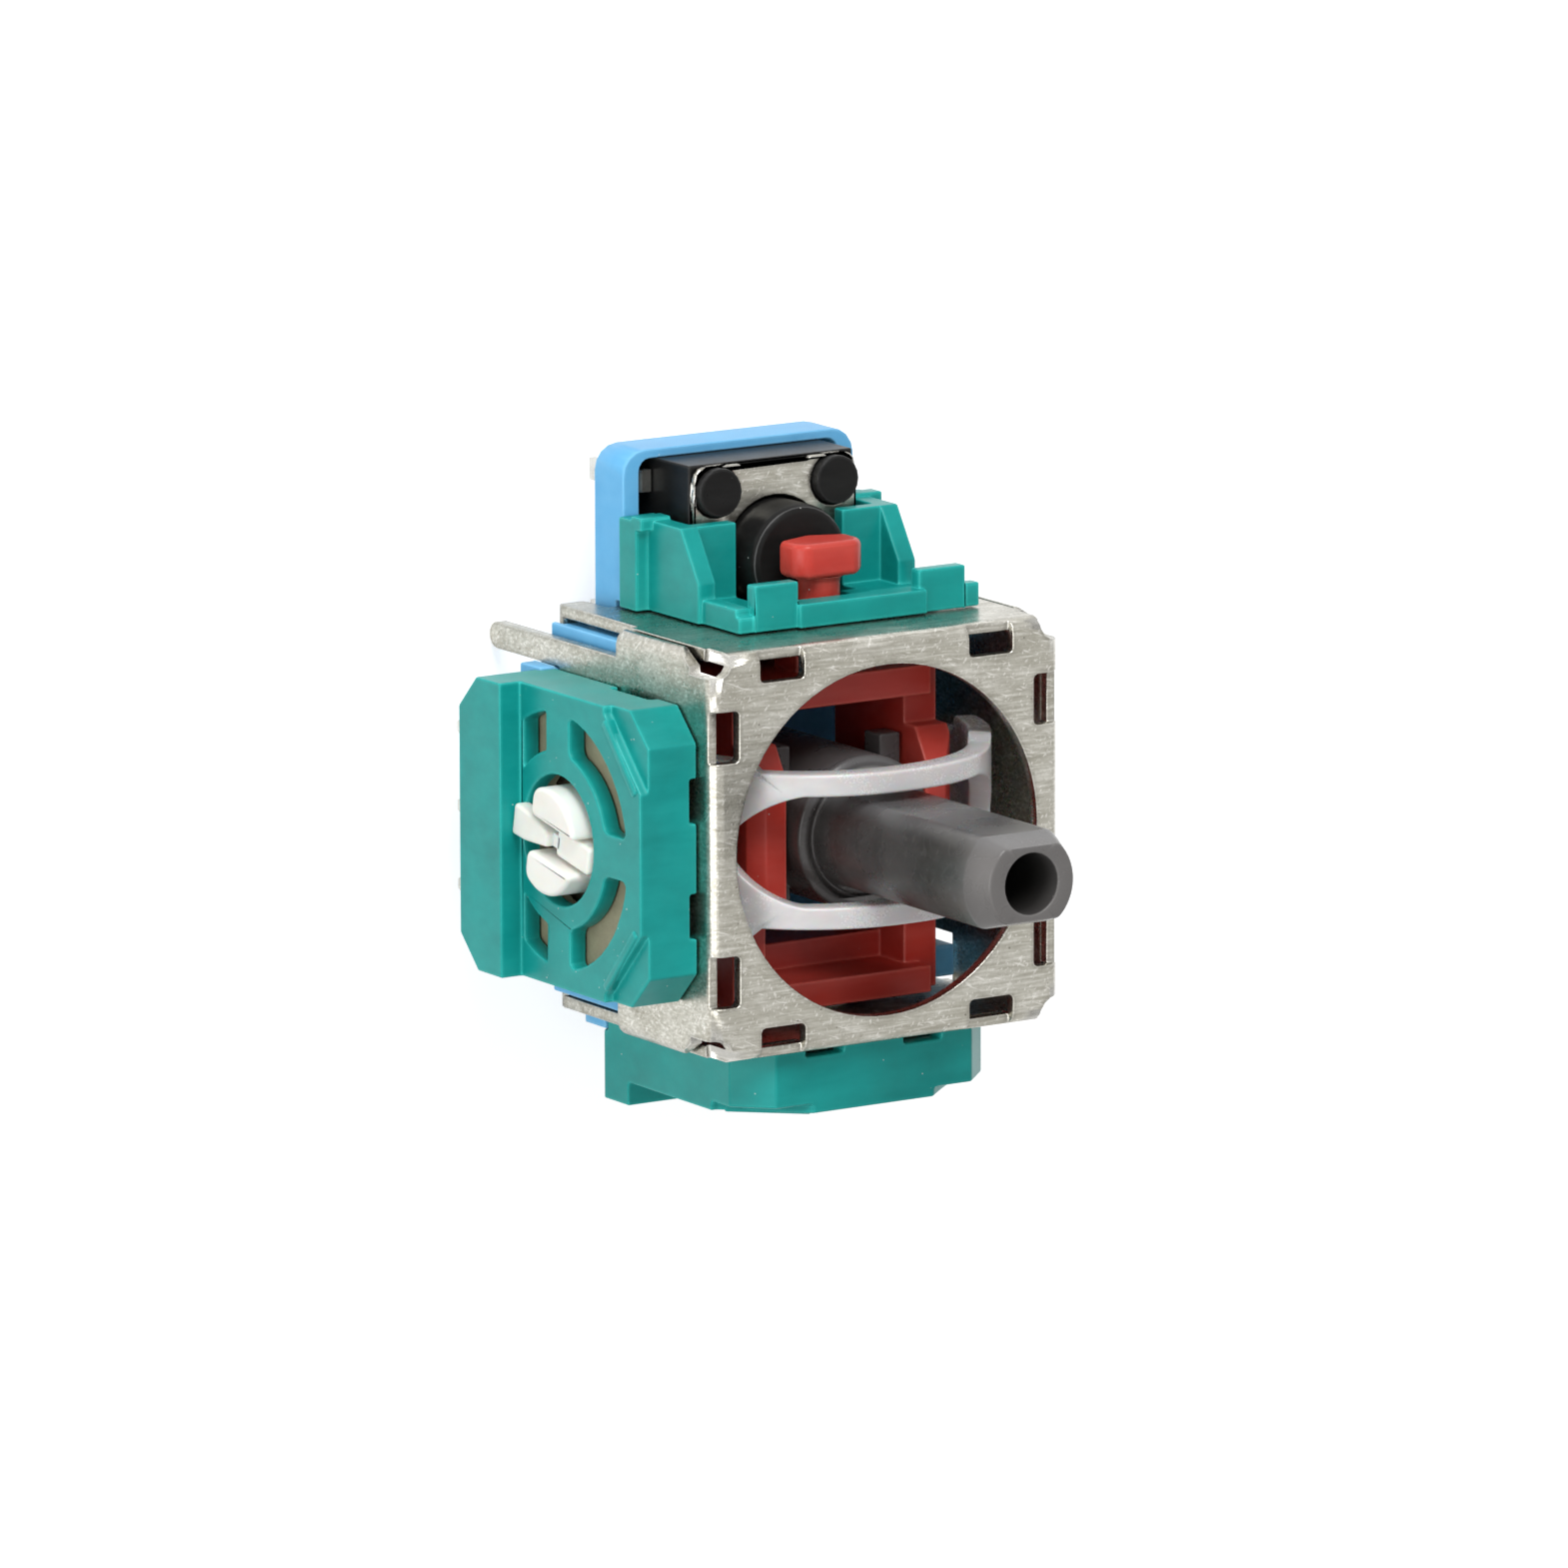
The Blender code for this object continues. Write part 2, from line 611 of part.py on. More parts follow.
def build_base():
    """Moulded base: dished floor, four posts, two sensor flanges and the switch pocket."""
    b = BASE_HALF
    far = SWITCH_FAR + POCKET_MARGIN
    base = slab([rectangle(-b, -b, b, b)], 0.0, BASE_FLOOR)
    join(base, block((-FLANGE_OUT, -FLANGE_SPAN / 2, 0.0), (0.0, FLANGE_SPAN / 2, BASE_FLOOR)))
    join(base, block((-FLANGE_SPAN / 2, -FLANGE_OUT, 0.0), (FLANGE_SPAN / 2, 0.0, BASE_FLOOR)))
    half = POCKET_WIDTH / 2
    pocket = slab([rounded(-half, 0.0, half, far, POCKET_CORNER)], 0.0, POCKET_RIM)
    hollow_half = half - POCKET_WALL
    hollow = rounded(-hollow_half, -HALF, hollow_half, far - POCKET_WALL / 2, POCKET_CORNER / 2)
    step = (half + CUT_OVER, HALF + BASE_GAP, FRAME_TOP)
    cut(pocket, block((-step[0], -HALF, WALL_FOOT - BASE_GAP), step))
    join(base, pocket)
    for sx in (-1, 1):
        for sy in (-1, 1):
            low_x, high_x = sorted((sx * b, sx * (b - POST_WIDTH)))
            low_y, high_y = sorted((sy * b, sy * (b - POST_WIDTH)))
            join(base, block((low_x, low_y, BASE_FLOOR / 2), (high_x, high_y, POST_HEIGHT)))
    cut(base, slab([hollow], POCKET_FLOOR, POCKET_RIM + CUT_OVER))
    floor = block((-half, -b + POST_WIDTH, 0.0), (half, SWITCH_NEAR - BASE_GAP, BASE_FLOOR))
    join(base, floor)
    bm = bmesh.new()
    bmesh.ops.create_uvsphere(bm, u_segments=32, v_segments=24, radius=DISH_RADIUS)
    cut(base, from_bmesh("dish", bm, Matrix.Translation((0, 0, PIVOT_HEIGHT))))
    hook = HOOK_WIDTH / 2 + SEAT_GAP
    for x in (-HOOK_CENTRE, HOOK_CENTRE):
        for side in (-1, 1):
            near, out = sorted((side * (HALF - HOOK_REACH - SEAT_GAP), side * HALF))
            cut(base, block((x - hook, near, -CUT_OVER), (x + hook, out, SHEET + SEAT_GAP)))
            wall, out = sorted((side * (INNER - SEAT_GAP), side * (HALF + SEAT_GAP)))
            cut(base, block((x - hook, wall, -CUT_OVER), (x + hook, out, BASE_FLOOR + CUT_OVER)))
    leg = LEG_WIDTH / 2 + SEAT_GAP
    cut(base, block((-HALF - SEAT_GAP, LEG_CENTRE - leg, -CUT_OVER), (-INNER + SEAT_GAP, HALF, POST_HEIGHT)))
    for x in (-1, 1):
        for y in (-1, 1):
            cut(base, lead_hole(x, y))
    return keep(base, "base", "blue")


def lead_hole(x, y):
    out = LEAD_X + SEAT_GAP
    near, far = sorted((x * out, x * (out - LEAD_SHEET - 2 * SEAT_GAP)))
    mid = SWITCH_Y + y * LEAD_PITCH / 2
    wide = LEAD_WIDTH / 2 + SEAT_GAP
    return block((near, mid - wide, -CUT_OVER), (far, mid + wide, POCKET_FLOOR + CUT_OVER))


def build_lever():
    """Stick, round hub, two trunnions and the bore that holds the return spring."""
    hub_top = PIVOT_HEIGHT + HUB_ABOVE
    edge = arc(HUB_EDGE, 90, 0, 4, (HUB_RADIUS - HUB_EDGE, hub_top - HUB_EDGE))
    profile = [(0.0, TIP_HEIGHT), (TIP_RADIUS, TIP_HEIGHT), (SHAFT_RADIUS, TIP_HEIGHT - TIP_TAPER)]
    profile += [(SHAFT_RADIUS, hub_top)] + edge
    profile += [(HUB_RADIUS, PIVOT_HEIGHT - HUB_BELOW), (0.0, PIVOT_HEIGHT - HUB_BELOW)]
    lever = turned(profile, 40)
    flat_low = hub_top + SEAT_GAP
    for side in (-1, 1):
        wide = [(side * SHAFT_FLAT, flat_low), (side * SHAFT_FLAT, TIP_HEIGHT - TIP_TAPER)]
        wide += [(side * TIP_FLAT, TIP_HEIGHT), (side * TIP_FLAT, TIP_HEIGHT + CUT_OVER)]
        wide += [(side * 2 * SHAFT_RADIUS, TIP_HEIGHT + CUT_OVER), (side * 2 * SHAFT_RADIUS, flat_low)]
        cut(lever, slab([wide], -2 * SHAFT_RADIUS, 2 * SHAFT_RADIUS, YZ))
    trunnion = CRADLE_OUT - RUN_GAP
    join(lever, rod(TRUNNION_RADIUS, -trunnion, trunnion, along("X"), sides=24))
    for sx in (-1, 1):
        low, high = sorted((sx * (HUB_RADIUS - SEAT_GAP - EAR_THICK), sx * (HUB_RADIUS - SEAT_GAP)))
        for sy in (-1, 1):
            near, far = sorted((sy * EAR_NEAR, sy * (HUB_RADIUS + EAR_PROUD)))
            join(lever, block((low, near, PIVOT_HEIGHT + EAR_LOW), (high, far, PIVOT_HEIGHT + EAR_HIGH)))
    low = PIVOT_HEIGHT - HUB_BELOW - CUT_OVER
    cut(lever, rod(SPRING_BORE, low, PIVOT_HEIGHT + SPRING_BORE_TOP, sides=28))
    cut(lever, rod(TIP_BORE / 2, TIP_HEIGHT - TIP_BORE_DEPTH, TIP_HEIGHT + CUT_OVER, sides=24))
    return lever


def build_foot():
    """Disc that the spring presses towards the base, with a stem that slides in the lever."""
    disc_top = FOOT_LOW + FOOT_DISC
    stem = SPRING_BORE - SEAT_GAP
    pip_top = FOOT_TOP + FOOT_PIP
    profile = [(0.0, pip_top), (FOOT_PIP_RADIUS - FOOT_PIP_EDGE, pip_top)]
    profile += [(FOOT_PIP_RADIUS, pip_top - FOOT_PIP_EDGE)]
    profile += [(FOOT_PIP_RADIUS, FOOT_TOP), (stem, FOOT_TOP), (stem, disc_top)]
    profile += [(FOOT_RADIUS, disc_top), (FOOT_RADIUS, FOOT_LOW), (0.0, FOOT_LOW)]
    return turned(profile, 32)


def build_spring():
    """Coil spring between the stem and the end of the lever's bore."""
    low = FOOT_TOP + SPRING_WIRE / 2 + SEAT_GAP
    high = PIVOT_HEIGHT + SPRING_BORE_TOP - SPRING_WIRE / 2 - SEAT_GAP
    curve = bpy.data.curves.new("coil", "CURVE")
    curve.dimensions = "3D"
    curve.bevel_depth = SPRING_WIRE / 2
    curve.bevel_resolution = 2
    curve.use_fill_caps = True
    spline = curve.splines.new("POLY")
    per_turn = 16
    count = SPRING_TURNS * per_turn
    spline.points.add(count)
    for step, point in enumerate(spline.points):
        angle = 2 * math.pi * step / per_turn
        rise = min(max(step - per_turn / 2, 0) / (count - per_turn), 1.0)
        share = SPRING_CLOSED_SHARE * step / count + (1 - SPRING_CLOSED_SHARE) * rise
        height = low + (high - low) * share
        point.co = (SPRING_RADIUS * math.cos(angle), SPRING_RADIUS * math.sin(angle), height, 1.0)
    holder = bpy.data.objects.new("coil", curve)
    bpy.context.scene.collection.objects.link(holder)
    graph = bpy.context.evaluated_depsgraph_get()
    mesh = bpy.data.meshes.new_from_object(holder.evaluated_get(graph))
    bpy.data.objects.remove(holder, do_unlink=True)
    bpy.data.curves.remove(curve)
    bm = bmesh.new()
    bm.from_mesh(mesh)
    bmesh.ops.remove_doubles(bm, verts=bm.verts, dist=1e-7)
    bmesh.ops.recalc_face_normals(bm, faces=bm.faces)
    bm.to_mesh(mesh)
    bm.free()
    mesh.materials.clear()
    return as_object("coil", mesh)


def boss_outline(low):
    """Side view of a cradle wall: a rail with a boss whose shoulders slope, about the pivot."""
    far = CRADLE_TAB_END
    near = CRADLE_REAR_END
    side = [(CRADLE_SHOULDER, CRADLE_RAIL), (CRADLE_SHOULDER, CRADLE_SHOULDER_TOP)]
    side.append((CRADLE_BOSS_FLAT, CRADLE_BOSS))
    points = [(near, low), (far, low), (far, CRADLE_RAIL)] + mirrored(side)
    return points + [(near, CRADLE_RAIL)]


def build_lower_arm():
    """Cradle round the hub, its square stub and the tab over the switch."""
    pivot = Matrix.Translation((0, 0, PIVOT_HEIGHT))
    arm = slab([boss_outline(-CRADLE_BELOW)], -CRADLE_OUT, CRADLE_OUT, pivot @ YZ)
    wide = CRADLE_END_WIDTH / 2
    rear = CRADLE_REAR_END
    join(arm, block((-wide, rear, -CRADLE_BELOW), (wide, rear + CRADLE_REAR_WALL, CRADLE_END), pivot))
    tab_end = CRADLE_TAB_END
    join(arm, block((-wide, tab_end - CRADLE_TAB_WALL, -CRADLE_BELOW), (wide, tab_end, CRADLE_END), pivot))
    hole_far = tab_end - CRADLE_TAB_WALL
    hole_near = rear + CRADLE_REAR_WALL
    cut(arm, block((-CRADLE_IN, hole_near, -HALF), (CRADLE_IN, hole_far, HALF), pivot))
    step = (-CRADLE_IN - CRADLE_WALL / 2, hole_near - CRADLE_REAR_WALL / 2, RUN_GAP - CRADLE_BELOW)
    join(arm, block(step, (-step[0], hole_near + CRADLE_STEP, CRADLE_STEP_TOP), pivot))
    trim(arm, rod(CRADLE_SWEEP, rear - CUT_OVER, tab_end + CUT_OVER, along("Y"), sides=72))
    cut(arm, rod(TRUNNION_RADIUS + SEAT_GAP, -HALF, HALF, along("X"), sides=24))
    shelf_low = NECK_RISE - NECK_RADIUS
    shelf_high = NECK_RISE + NECK_RADIUS
    shelf_end = INNER - SHELF_GAP
    join(arm, block((-TAB_WIDTH / 2, tab_end - CRADLE_TAB_WALL / 2, shelf_low),
                    (TAB_WIDTH / 2, shelf_end, shelf_high), pivot))
    tab_near = TAB_Y - TAB_LENGTH / 2
    tab_far = TAB_Y + TAB_LENGTH / 2
    join(arm, rod(NECK_RADIUS, shelf_end - CUT_OVER, tab_near + CUT_OVER, along("Y"), (0, NECK_RISE), 20))
    join(arm, tab_block(tab_near, tab_far))
    half = STUB_SIZE / 2
    join(arm, block((-half, rear - stub_length(rear), -half), (half, rear + CUT_OVER, half), pivot))
    return arm


def stub_length(from_y):
    """Stubs end at the same depth in both rotors."""
    return ROTOR_INNER_END + STUB_LENGTH - abs(from_y)


def tab_block(near, far):
    """The press tab: its underside slopes up both ways, so tilting never presses the switch."""
    low = PLUNGER_TOP - PIVOT_HEIGHT + RUN_GAP
    half = TAB_WIDTH / 2
    ridge = low / math.cos(TILT)
    edge = (low + half * math.sin(TILT)) / math.cos(TILT)
    side = [(0.0, ridge), (half, edge), (half, TAB_TOP - TAB_CORNER), (half - TAB_CORNER, TAB_TOP)]
    pivot = Matrix.Translation((0, 0, PIVOT_HEIGHT))
    outline = side + [(-a, b) for a, b in reversed(side[1:])]
    return slab([outline], -far, -near, pivot @ XZ)


def build_upper_arm():
    """Slotted arch: two rails over the hub, joined at both ends, with its stub and journal."""
    pivot = Matrix.Translation((0, 0, PIVOT_HEIGHT))
    outer = arch(YOKE_OUT, YOKE_RISE, 16)
    inner = arch(YOKE_IN, YOKE_RISE - YOKE_BAND, 16)
    over = outer + [(-a, b) for a, b in reversed(outer[:-1])]
    under = inner + [(-a, b) for a, b in reversed(inner[:-1])]
    outline = [(YOKE_OUT, -YOKE_BELOW)] + over + [(-YOKE_OUT, -YOKE_BELOW), (-YOKE_IN, -YOKE_BELOW)]
    outline += list(reversed(under)) + [(YOKE_IN, -YOKE_BELOW)]
    wide = YOKE_END_WIDTH / 2
    arm = slab([outline], -wide, wide, pivot @ XZ)
    slot = YOKE_SLOT / 2
    for side in (-1, 1):
        near, far = sorted((side * (slot + YOKE_RAIL), side * (wide + CUT_OVER)))
        cut(arm, block((-HALF, near, YOKE_SLOT_FOOT), (HALF, far, YOKE_RISE + CUT_OVER), pivot))
        near, far = sorted((side * YOKE_LEG_WIDTH / 2, side * (wide + CUT_OVER)))
        cut(arm, block((-HALF, near, -YOKE_BELOW - CUT_OVER), (HALF, far, YOKE_END_LOW), pivot))
    through = rounded(-slot, YOKE_SLOT_FOOT, slot, YOKE_RISE + 2 * YOKE_SLOT_CORNER, YOKE_SLOT_CORNER, 5)
    cut(arm, slab([through], -HALF, HALF, pivot @ YZ))
    join(arm, rod(YOKE_JOURNAL, YOKE_OUT - SEAT_GAP, HALF + SHEET, along("X"), sides=32))
    half = STUB_SIZE / 2
    join(arm, block((-ROTOR_INNER_END - STUB_LENGTH, -half, -half), (-YOKE_OUT + SEAT_GAP, half, half), pivot))
    return arm


def arch(reach, rise, count):
    """A quarter of an arch that is slightly squarer than an ellipse, from its foot to its crown."""
    power = 2 / YOKE_SQUARENESS
    points = []
    for step in range(count + 1):
        angle = math.pi / 2 * step / count
        points.append((reach * max(math.cos(angle), 0.0) ** power, rise * math.sin(angle) ** power))
    return points


def pot_frame(turn):
    """Frame of a sensor: across, up, and outwards from the pivot."""
    sideways = Matrix(((0, 0, -1, 0), (-1, 0, 0, 0), (0, 1, 0, 0), (0, 0, 0, 1)))
    return Matrix.Translation((0, 0, PIVOT_HEIGHT)) @ Matrix.Rotation(turn, 4, "Z") @ sideways


def pot_outline(margin=0.0):
    """The cover seen from outside: a rectangle with cut corners."""
    wide = POT_WIDTH / 2 - margin
    high = POT_ABOVE - margin
    low = -PIVOT_HEIGHT + margin
    c = POT_CHAMFER
    half = [(wide - c, high), (wide, high - c), (wide, low + c), (wide - c, low)]
    return half + [(-a, b) for a, b in reversed(half)]


def window(side, up):
    """One arc slot between the ring and the cover's rim; the lower two stop at the block."""
    rib = RIB_WIDTH / 2
    floor = PIVOT_HEIGHT - POT_BLOCK_TOP - 3 * SEAT_GAP
    starts = [math.degrees(math.asin(rib / radius)) for radius in (WINDOW_RADIUS, RING_RADIUS)]
    if up > 0:
        ends = [90.0 - start for start in starts]
    else:
        ends = []
        for radius, start in zip((WINDOW_RADIUS, RING_RADIUS), starts):
            ends.append(math.degrees(math.asin(min(floor / radius, math.cos(math.radians(start))))))
    points = arc(WINDOW_RADIUS, starts[0], ends[0], 10) + arc(RING_RADIUS, ends[1], starts[1], 8)
    return [(side * a, up * b) for a, b in points]


def build_cover(frame, name):
    """Sensor cover: a shell open to the frame, with its ring, ribs and terminal block."""
    cover = slab([pot_outline()], POT_SEAT, POT_BLOCK_OUT, frame)
    block_top = POT_BLOCK_TOP - PIVOT_HEIGHT
    wide = POT_WIDTH / 2
    cut(cover, block((-wide * 2, block_top, POT_FACE), (wide * 2, HALF * 2, POT_BLOCK_OUT * 2), frame))
    cut(cover, slab([pot_outline(POT_SIDE)], POT_SEAT - CUT_OVER, POT_INSIDE, frame))
    for side in (-1, 1):
        for up in (-1, 1):
            cut(cover, slab([window(side, up)], POT_INSIDE - CUT_OVER, POT_BLOCK_OUT, frame))
    cut(cover, rod(RING_HOLE, POT_INSIDE - CUT_OVER, POT_BLOCK_OUT + CUT_OVER, frame, sides=36))
    for side in (-1, 1):
        shelf = POT_ABOVE - RECESS_DOWN
        corner = [(side * RECESS_NEAR, POT_ABOVE), (side * RECESS_FAR, shelf), (side * POT_WIDTH, shelf)]
        corner += [(side * POT_WIDTH, POT_ABOVE * 2), (side * RECESS_NEAR, POT_ABOVE * 2)]
        cut(cover, slab([corner], POT_FACE - RECESS_DEPTH, POT_BLOCK_OUT, frame))
        near, far = sorted((side * NOTCH_NEAR, side * NOTCH_FAR))
        notch_top = POT_ABOVE + CUT_OVER
        cut(cover, block((near, POT_ABOVE - 2 * POT_SIDE, 0.0), (far, notch_top, POT_SEAT + NOTCH_DEPTH), frame))
        near, far = sorted((side * (wide - 2 * POT_SIDE), side * (wide + CUT_OVER)))
        cut(cover, block((near, CLIP_LOW, 0.0), (far, CLIP_HIGH, POT_SEAT + CLIP_DEPTH), frame))
    flange = BASE_FLOOR + SEAT_GAP - PIVOT_HEIGHT
    cut(cover, block((-wide * 2, -HALF * 2, 0.0), (wide * 2, flange, FLANGE_OUT + SEAT_GAP), frame))
    for pitch in (-PIN_PITCH, 0.0, PIN_PITCH):
        half = PIN_WIDTH / 2 + SEAT_GAP
        low = (pitch - half, -HALF * 2, BOARD_FACE)
        high = (pitch + half, pin_top() + SEAT_GAP, BOARD_FACE + PIN_SHEET + 2 * SEAT_GAP)
        cut(cover, block(low, high, frame))
    return keep(cover, name, "green")


def pin_top():
    """Top of a terminal's pad, on the board, below the ring."""
    return PIN_TOP - PIVOT_HEIGHT


def build_board(frame, name):
    """Resistive board behind the cover's face, with a hole for the rotor."""
    margin = POT_SIDE + SEAT_GAP
    board = slab([pot_outline(margin), circle(BOARD_HOLE, 36)], BOARD_BACK, BOARD_FACE, frame)
    return keep(board, name, "tan")


def build_pins(frame, name):
    """Three terminals, from pads on the board down past the base."""
    for number, pitch in enumerate((-PIN_PITCH, 0.0, PIN_PITCH), 1):
        half = PIN_WIDTH / 2
        low = -PIVOT_HEIGHT - PIN_REACH
        taper = half / 2
        outline = [(pitch - half, pin_top()), (pitch - half, low + half), (pitch - taper, low)]
        outline += [(pitch + taper, low), (pitch + half, low + half), (pitch + half, pin_top())]
        start = BOARD_FACE + SEAT_GAP
        pin = slab([outline], start, start + PIN_SHEET, frame)
        keep(pin, f"{name}_{number}", "tin")


def build_rotor(frame):
    """Rotor: journal in the frame's wall, disc, and two half-round prongs with a cross key."""
    rotor = rod(ROTOR_JOURNAL, ROTOR_INNER_END, ROTOR_DISC_BACK + SEAT_GAP, frame, sides=32)
    join(rotor, rod(ROTOR_DISC, ROTOR_DISC_BACK, ROTOR_DISC_FACE, frame, sides=40))
    prong = rod(ROTOR_PRONG, ROTOR_DISC_FACE - SEAT_GAP, ROTOR_OUT, frame, sides=32)
    slot = ROTOR_SLOT / 2
    cut(prong, block((-slot, -HALF, SOCKET_DEPTH + RUN_GAP), (slot, HALF, ROTOR_OUT * 2), frame))
    join(rotor, prong)
    socket = STUB_SIZE / 2 + SEAT_GAP
    cut(rotor, block((-socket, -socket, ROTOR_INNER_END - CUT_OVER), (socket, socket, SOCKET_DEPTH), frame))
    return rotor


def add_key(rotor, frame):
    """A block fills the slot's upper half; a key runs down past the prongs, over the ring."""
    half = KEY_WIDTH / 2
    floor = SOCKET_DEPTH + SEAT_GAP
    filler = ROTOR_SLOT / 2 + SEAT_GAP
    join(rotor, block((-filler, -ROTOR_PRONG / 2, floor), (filler, ROTOR_PRONG / 2, POT_FACE), frame))
    top = ROTOR_OUT - SEAT_GAP
    join(rotor, block((-half, 0.0, floor), (half, ROTOR_PRONG - RUN_GAP, top), frame))
    return join(rotor, block((-half, -KEY_REACH, POT_FACE + RUN_GAP), (half, RUN_GAP, top - RUN_GAP), frame))


def build_wiper(frame):
    """Contact spring on the rotor's disc, with two fingers towards the board."""
    start = ROTOR_DISC_FACE + SEAT_GAP
    ring = [circle(WIPER_RADIUS, 32), circle(ROTOR_PRONG + RUN_GAP, 24)]
    wiper = slab(ring, start, start + WIPER_SHEET, frame)
    for side in (-1, 1):
        low, high = sorted((side * FINGER_NEAR, side * FINGER_FAR))
        half = FINGER_WIDTH / 2
        top = BOARD_BACK - SEAT_GAP
        join(wiper, block((low, -half, start + WIPER_SHEET / 2), (high, half, top), frame))
    return wiper


def build_switch():
    """Press switch: body with rivet posts, steel cover plate, snap disc, plunger and leads."""
    half = SWITCH_SIZE / 2
    place = Matrix.Translation((0, SWITCH_Y, 0))
    body = slab([rectangle(-half, -half, half, half)], SWITCH_FOOT, SWITCH_DECK, place)
    posts = [(x * RIVET_PITCH / 2, y * RIVET_PITCH / 2) for x in (-1, 1) for y in (-1, 1)]
    for post in posts:
        low = SWITCH_DECK - CUT_OVER
        join(body, rod(RIVET_RADIUS, low, SWITCH_TOP + RIVET_RISE, place, post, 20))
    cavity = PLUNGER_FLANGE + RUN_GAP
    cut(body, rod(cavity, SWITCH_FOOT + CAVITY_FLOOR, SWITCH_DECK + CUT_OVER, place, sides=32))
    keep(body, "switch_body", "black")

    hole = PLUNGER_RADIUS + RUN_GAP
    edge = half - SEAT_GAP
    notch = PLATE_NOTCH
    outline = rounded(-edge, -edge, edge, edge, PLATE_CORNER, 3)
    dip = [(notch, edge), (notch - RUN_GAP, edge - RUN_GAP), (RUN_GAP - notch, edge - RUN_GAP), (-notch, edge)]
    outline[4:4] = dip
    loops = [outline, circle(hole, 32)] + [circle(RIVET_RADIUS + SEAT_GAP, 20, post) for post in posts]
    plate = slab(loops, SWITCH_DECK + SEAT_GAP, SWITCH_TOP, place)
    keep(plate, "switch_plate", "steel")

    floor = SWITCH_FOOT + CAVITY_FLOOR + SEAT_GAP
    steps = 8
    top = []
    under = []
    for step in range(steps + 1):
        radius = DOME_RADIUS * step / steps
        height = floor + DOME_RISE * (1 - (step / steps) ** 2)
        top.append((radius, height + DOME_SHEET))
        under.append((radius, height))
    dome = turned(top + list(reversed(under)), 28, place)
    keep(dome, "switch_dome", "steel")

    dome_top = floor + DOME_RISE + DOME_SHEET
    flange_low = dome_top + ROCK_TRAVEL + SEAT_GAP
    flange_top = SWITCH_DECK - SEAT_GAP
    round_edge = arc(PLUNGER_EDGE, 90, 0, 3, (PLUNGER_RADIUS - PLUNGER_EDGE, PLUNGER_TOP - PLUNGER_EDGE))
    stem = PLUNGER_RADIUS / 2
    profile = [(0.0, PLUNGER_TOP)] + round_edge + [(PLUNGER_RADIUS, flange_top), (PLUNGER_FLANGE, flange_top)]
    profile += [(PLUNGER_FLANGE, flange_low), (stem, flange_low), (stem, dome_top + SEAT_GAP)]
    profile += [(0.0, dome_top + SEAT_GAP)]
    plunger = turned(profile, 36, place)
    keep(plunger, "switch_plunger", "black", axis_point=(0.0, SWITCH_Y, PLUNGER_TOP))

    number = 0
    for x in (-1, 1):
        for y in (-1, 1):
            number += 1
            build_lead(x, y, number)


def build_lead(x, y, number):
    """A lead leaves the body's side, turns down and goes through the base."""
    inside = SWITCH_SIZE / 2 + SEAT_GAP
    low = SWITCH_FOOT + LEAD_HEIGHT
    high = low + LEAD_SHEET
    outline = [(inside, low), (LEAD_X - LEAD_SHEET, low), (LEAD_X - LEAD_SHEET, -LEAD_REACH)]
    outline += [(LEAD_X, -LEAD_REACH), (LEAD_X, high - LEAD_SHEET / 2)]
    outline += [(LEAD_X - LEAD_SHEET / 2, high), (inside, high)]
    outline = [(x * a, b) for a, b in outline]
    mid = SWITCH_Y + y * LEAD_PITCH / 2
    lead = slab([outline], -mid - LEAD_WIDTH / 2, -mid + LEAD_WIDTH / 2, XZ)
    keep(lead, f"switch_terminal_{number}", "tin")


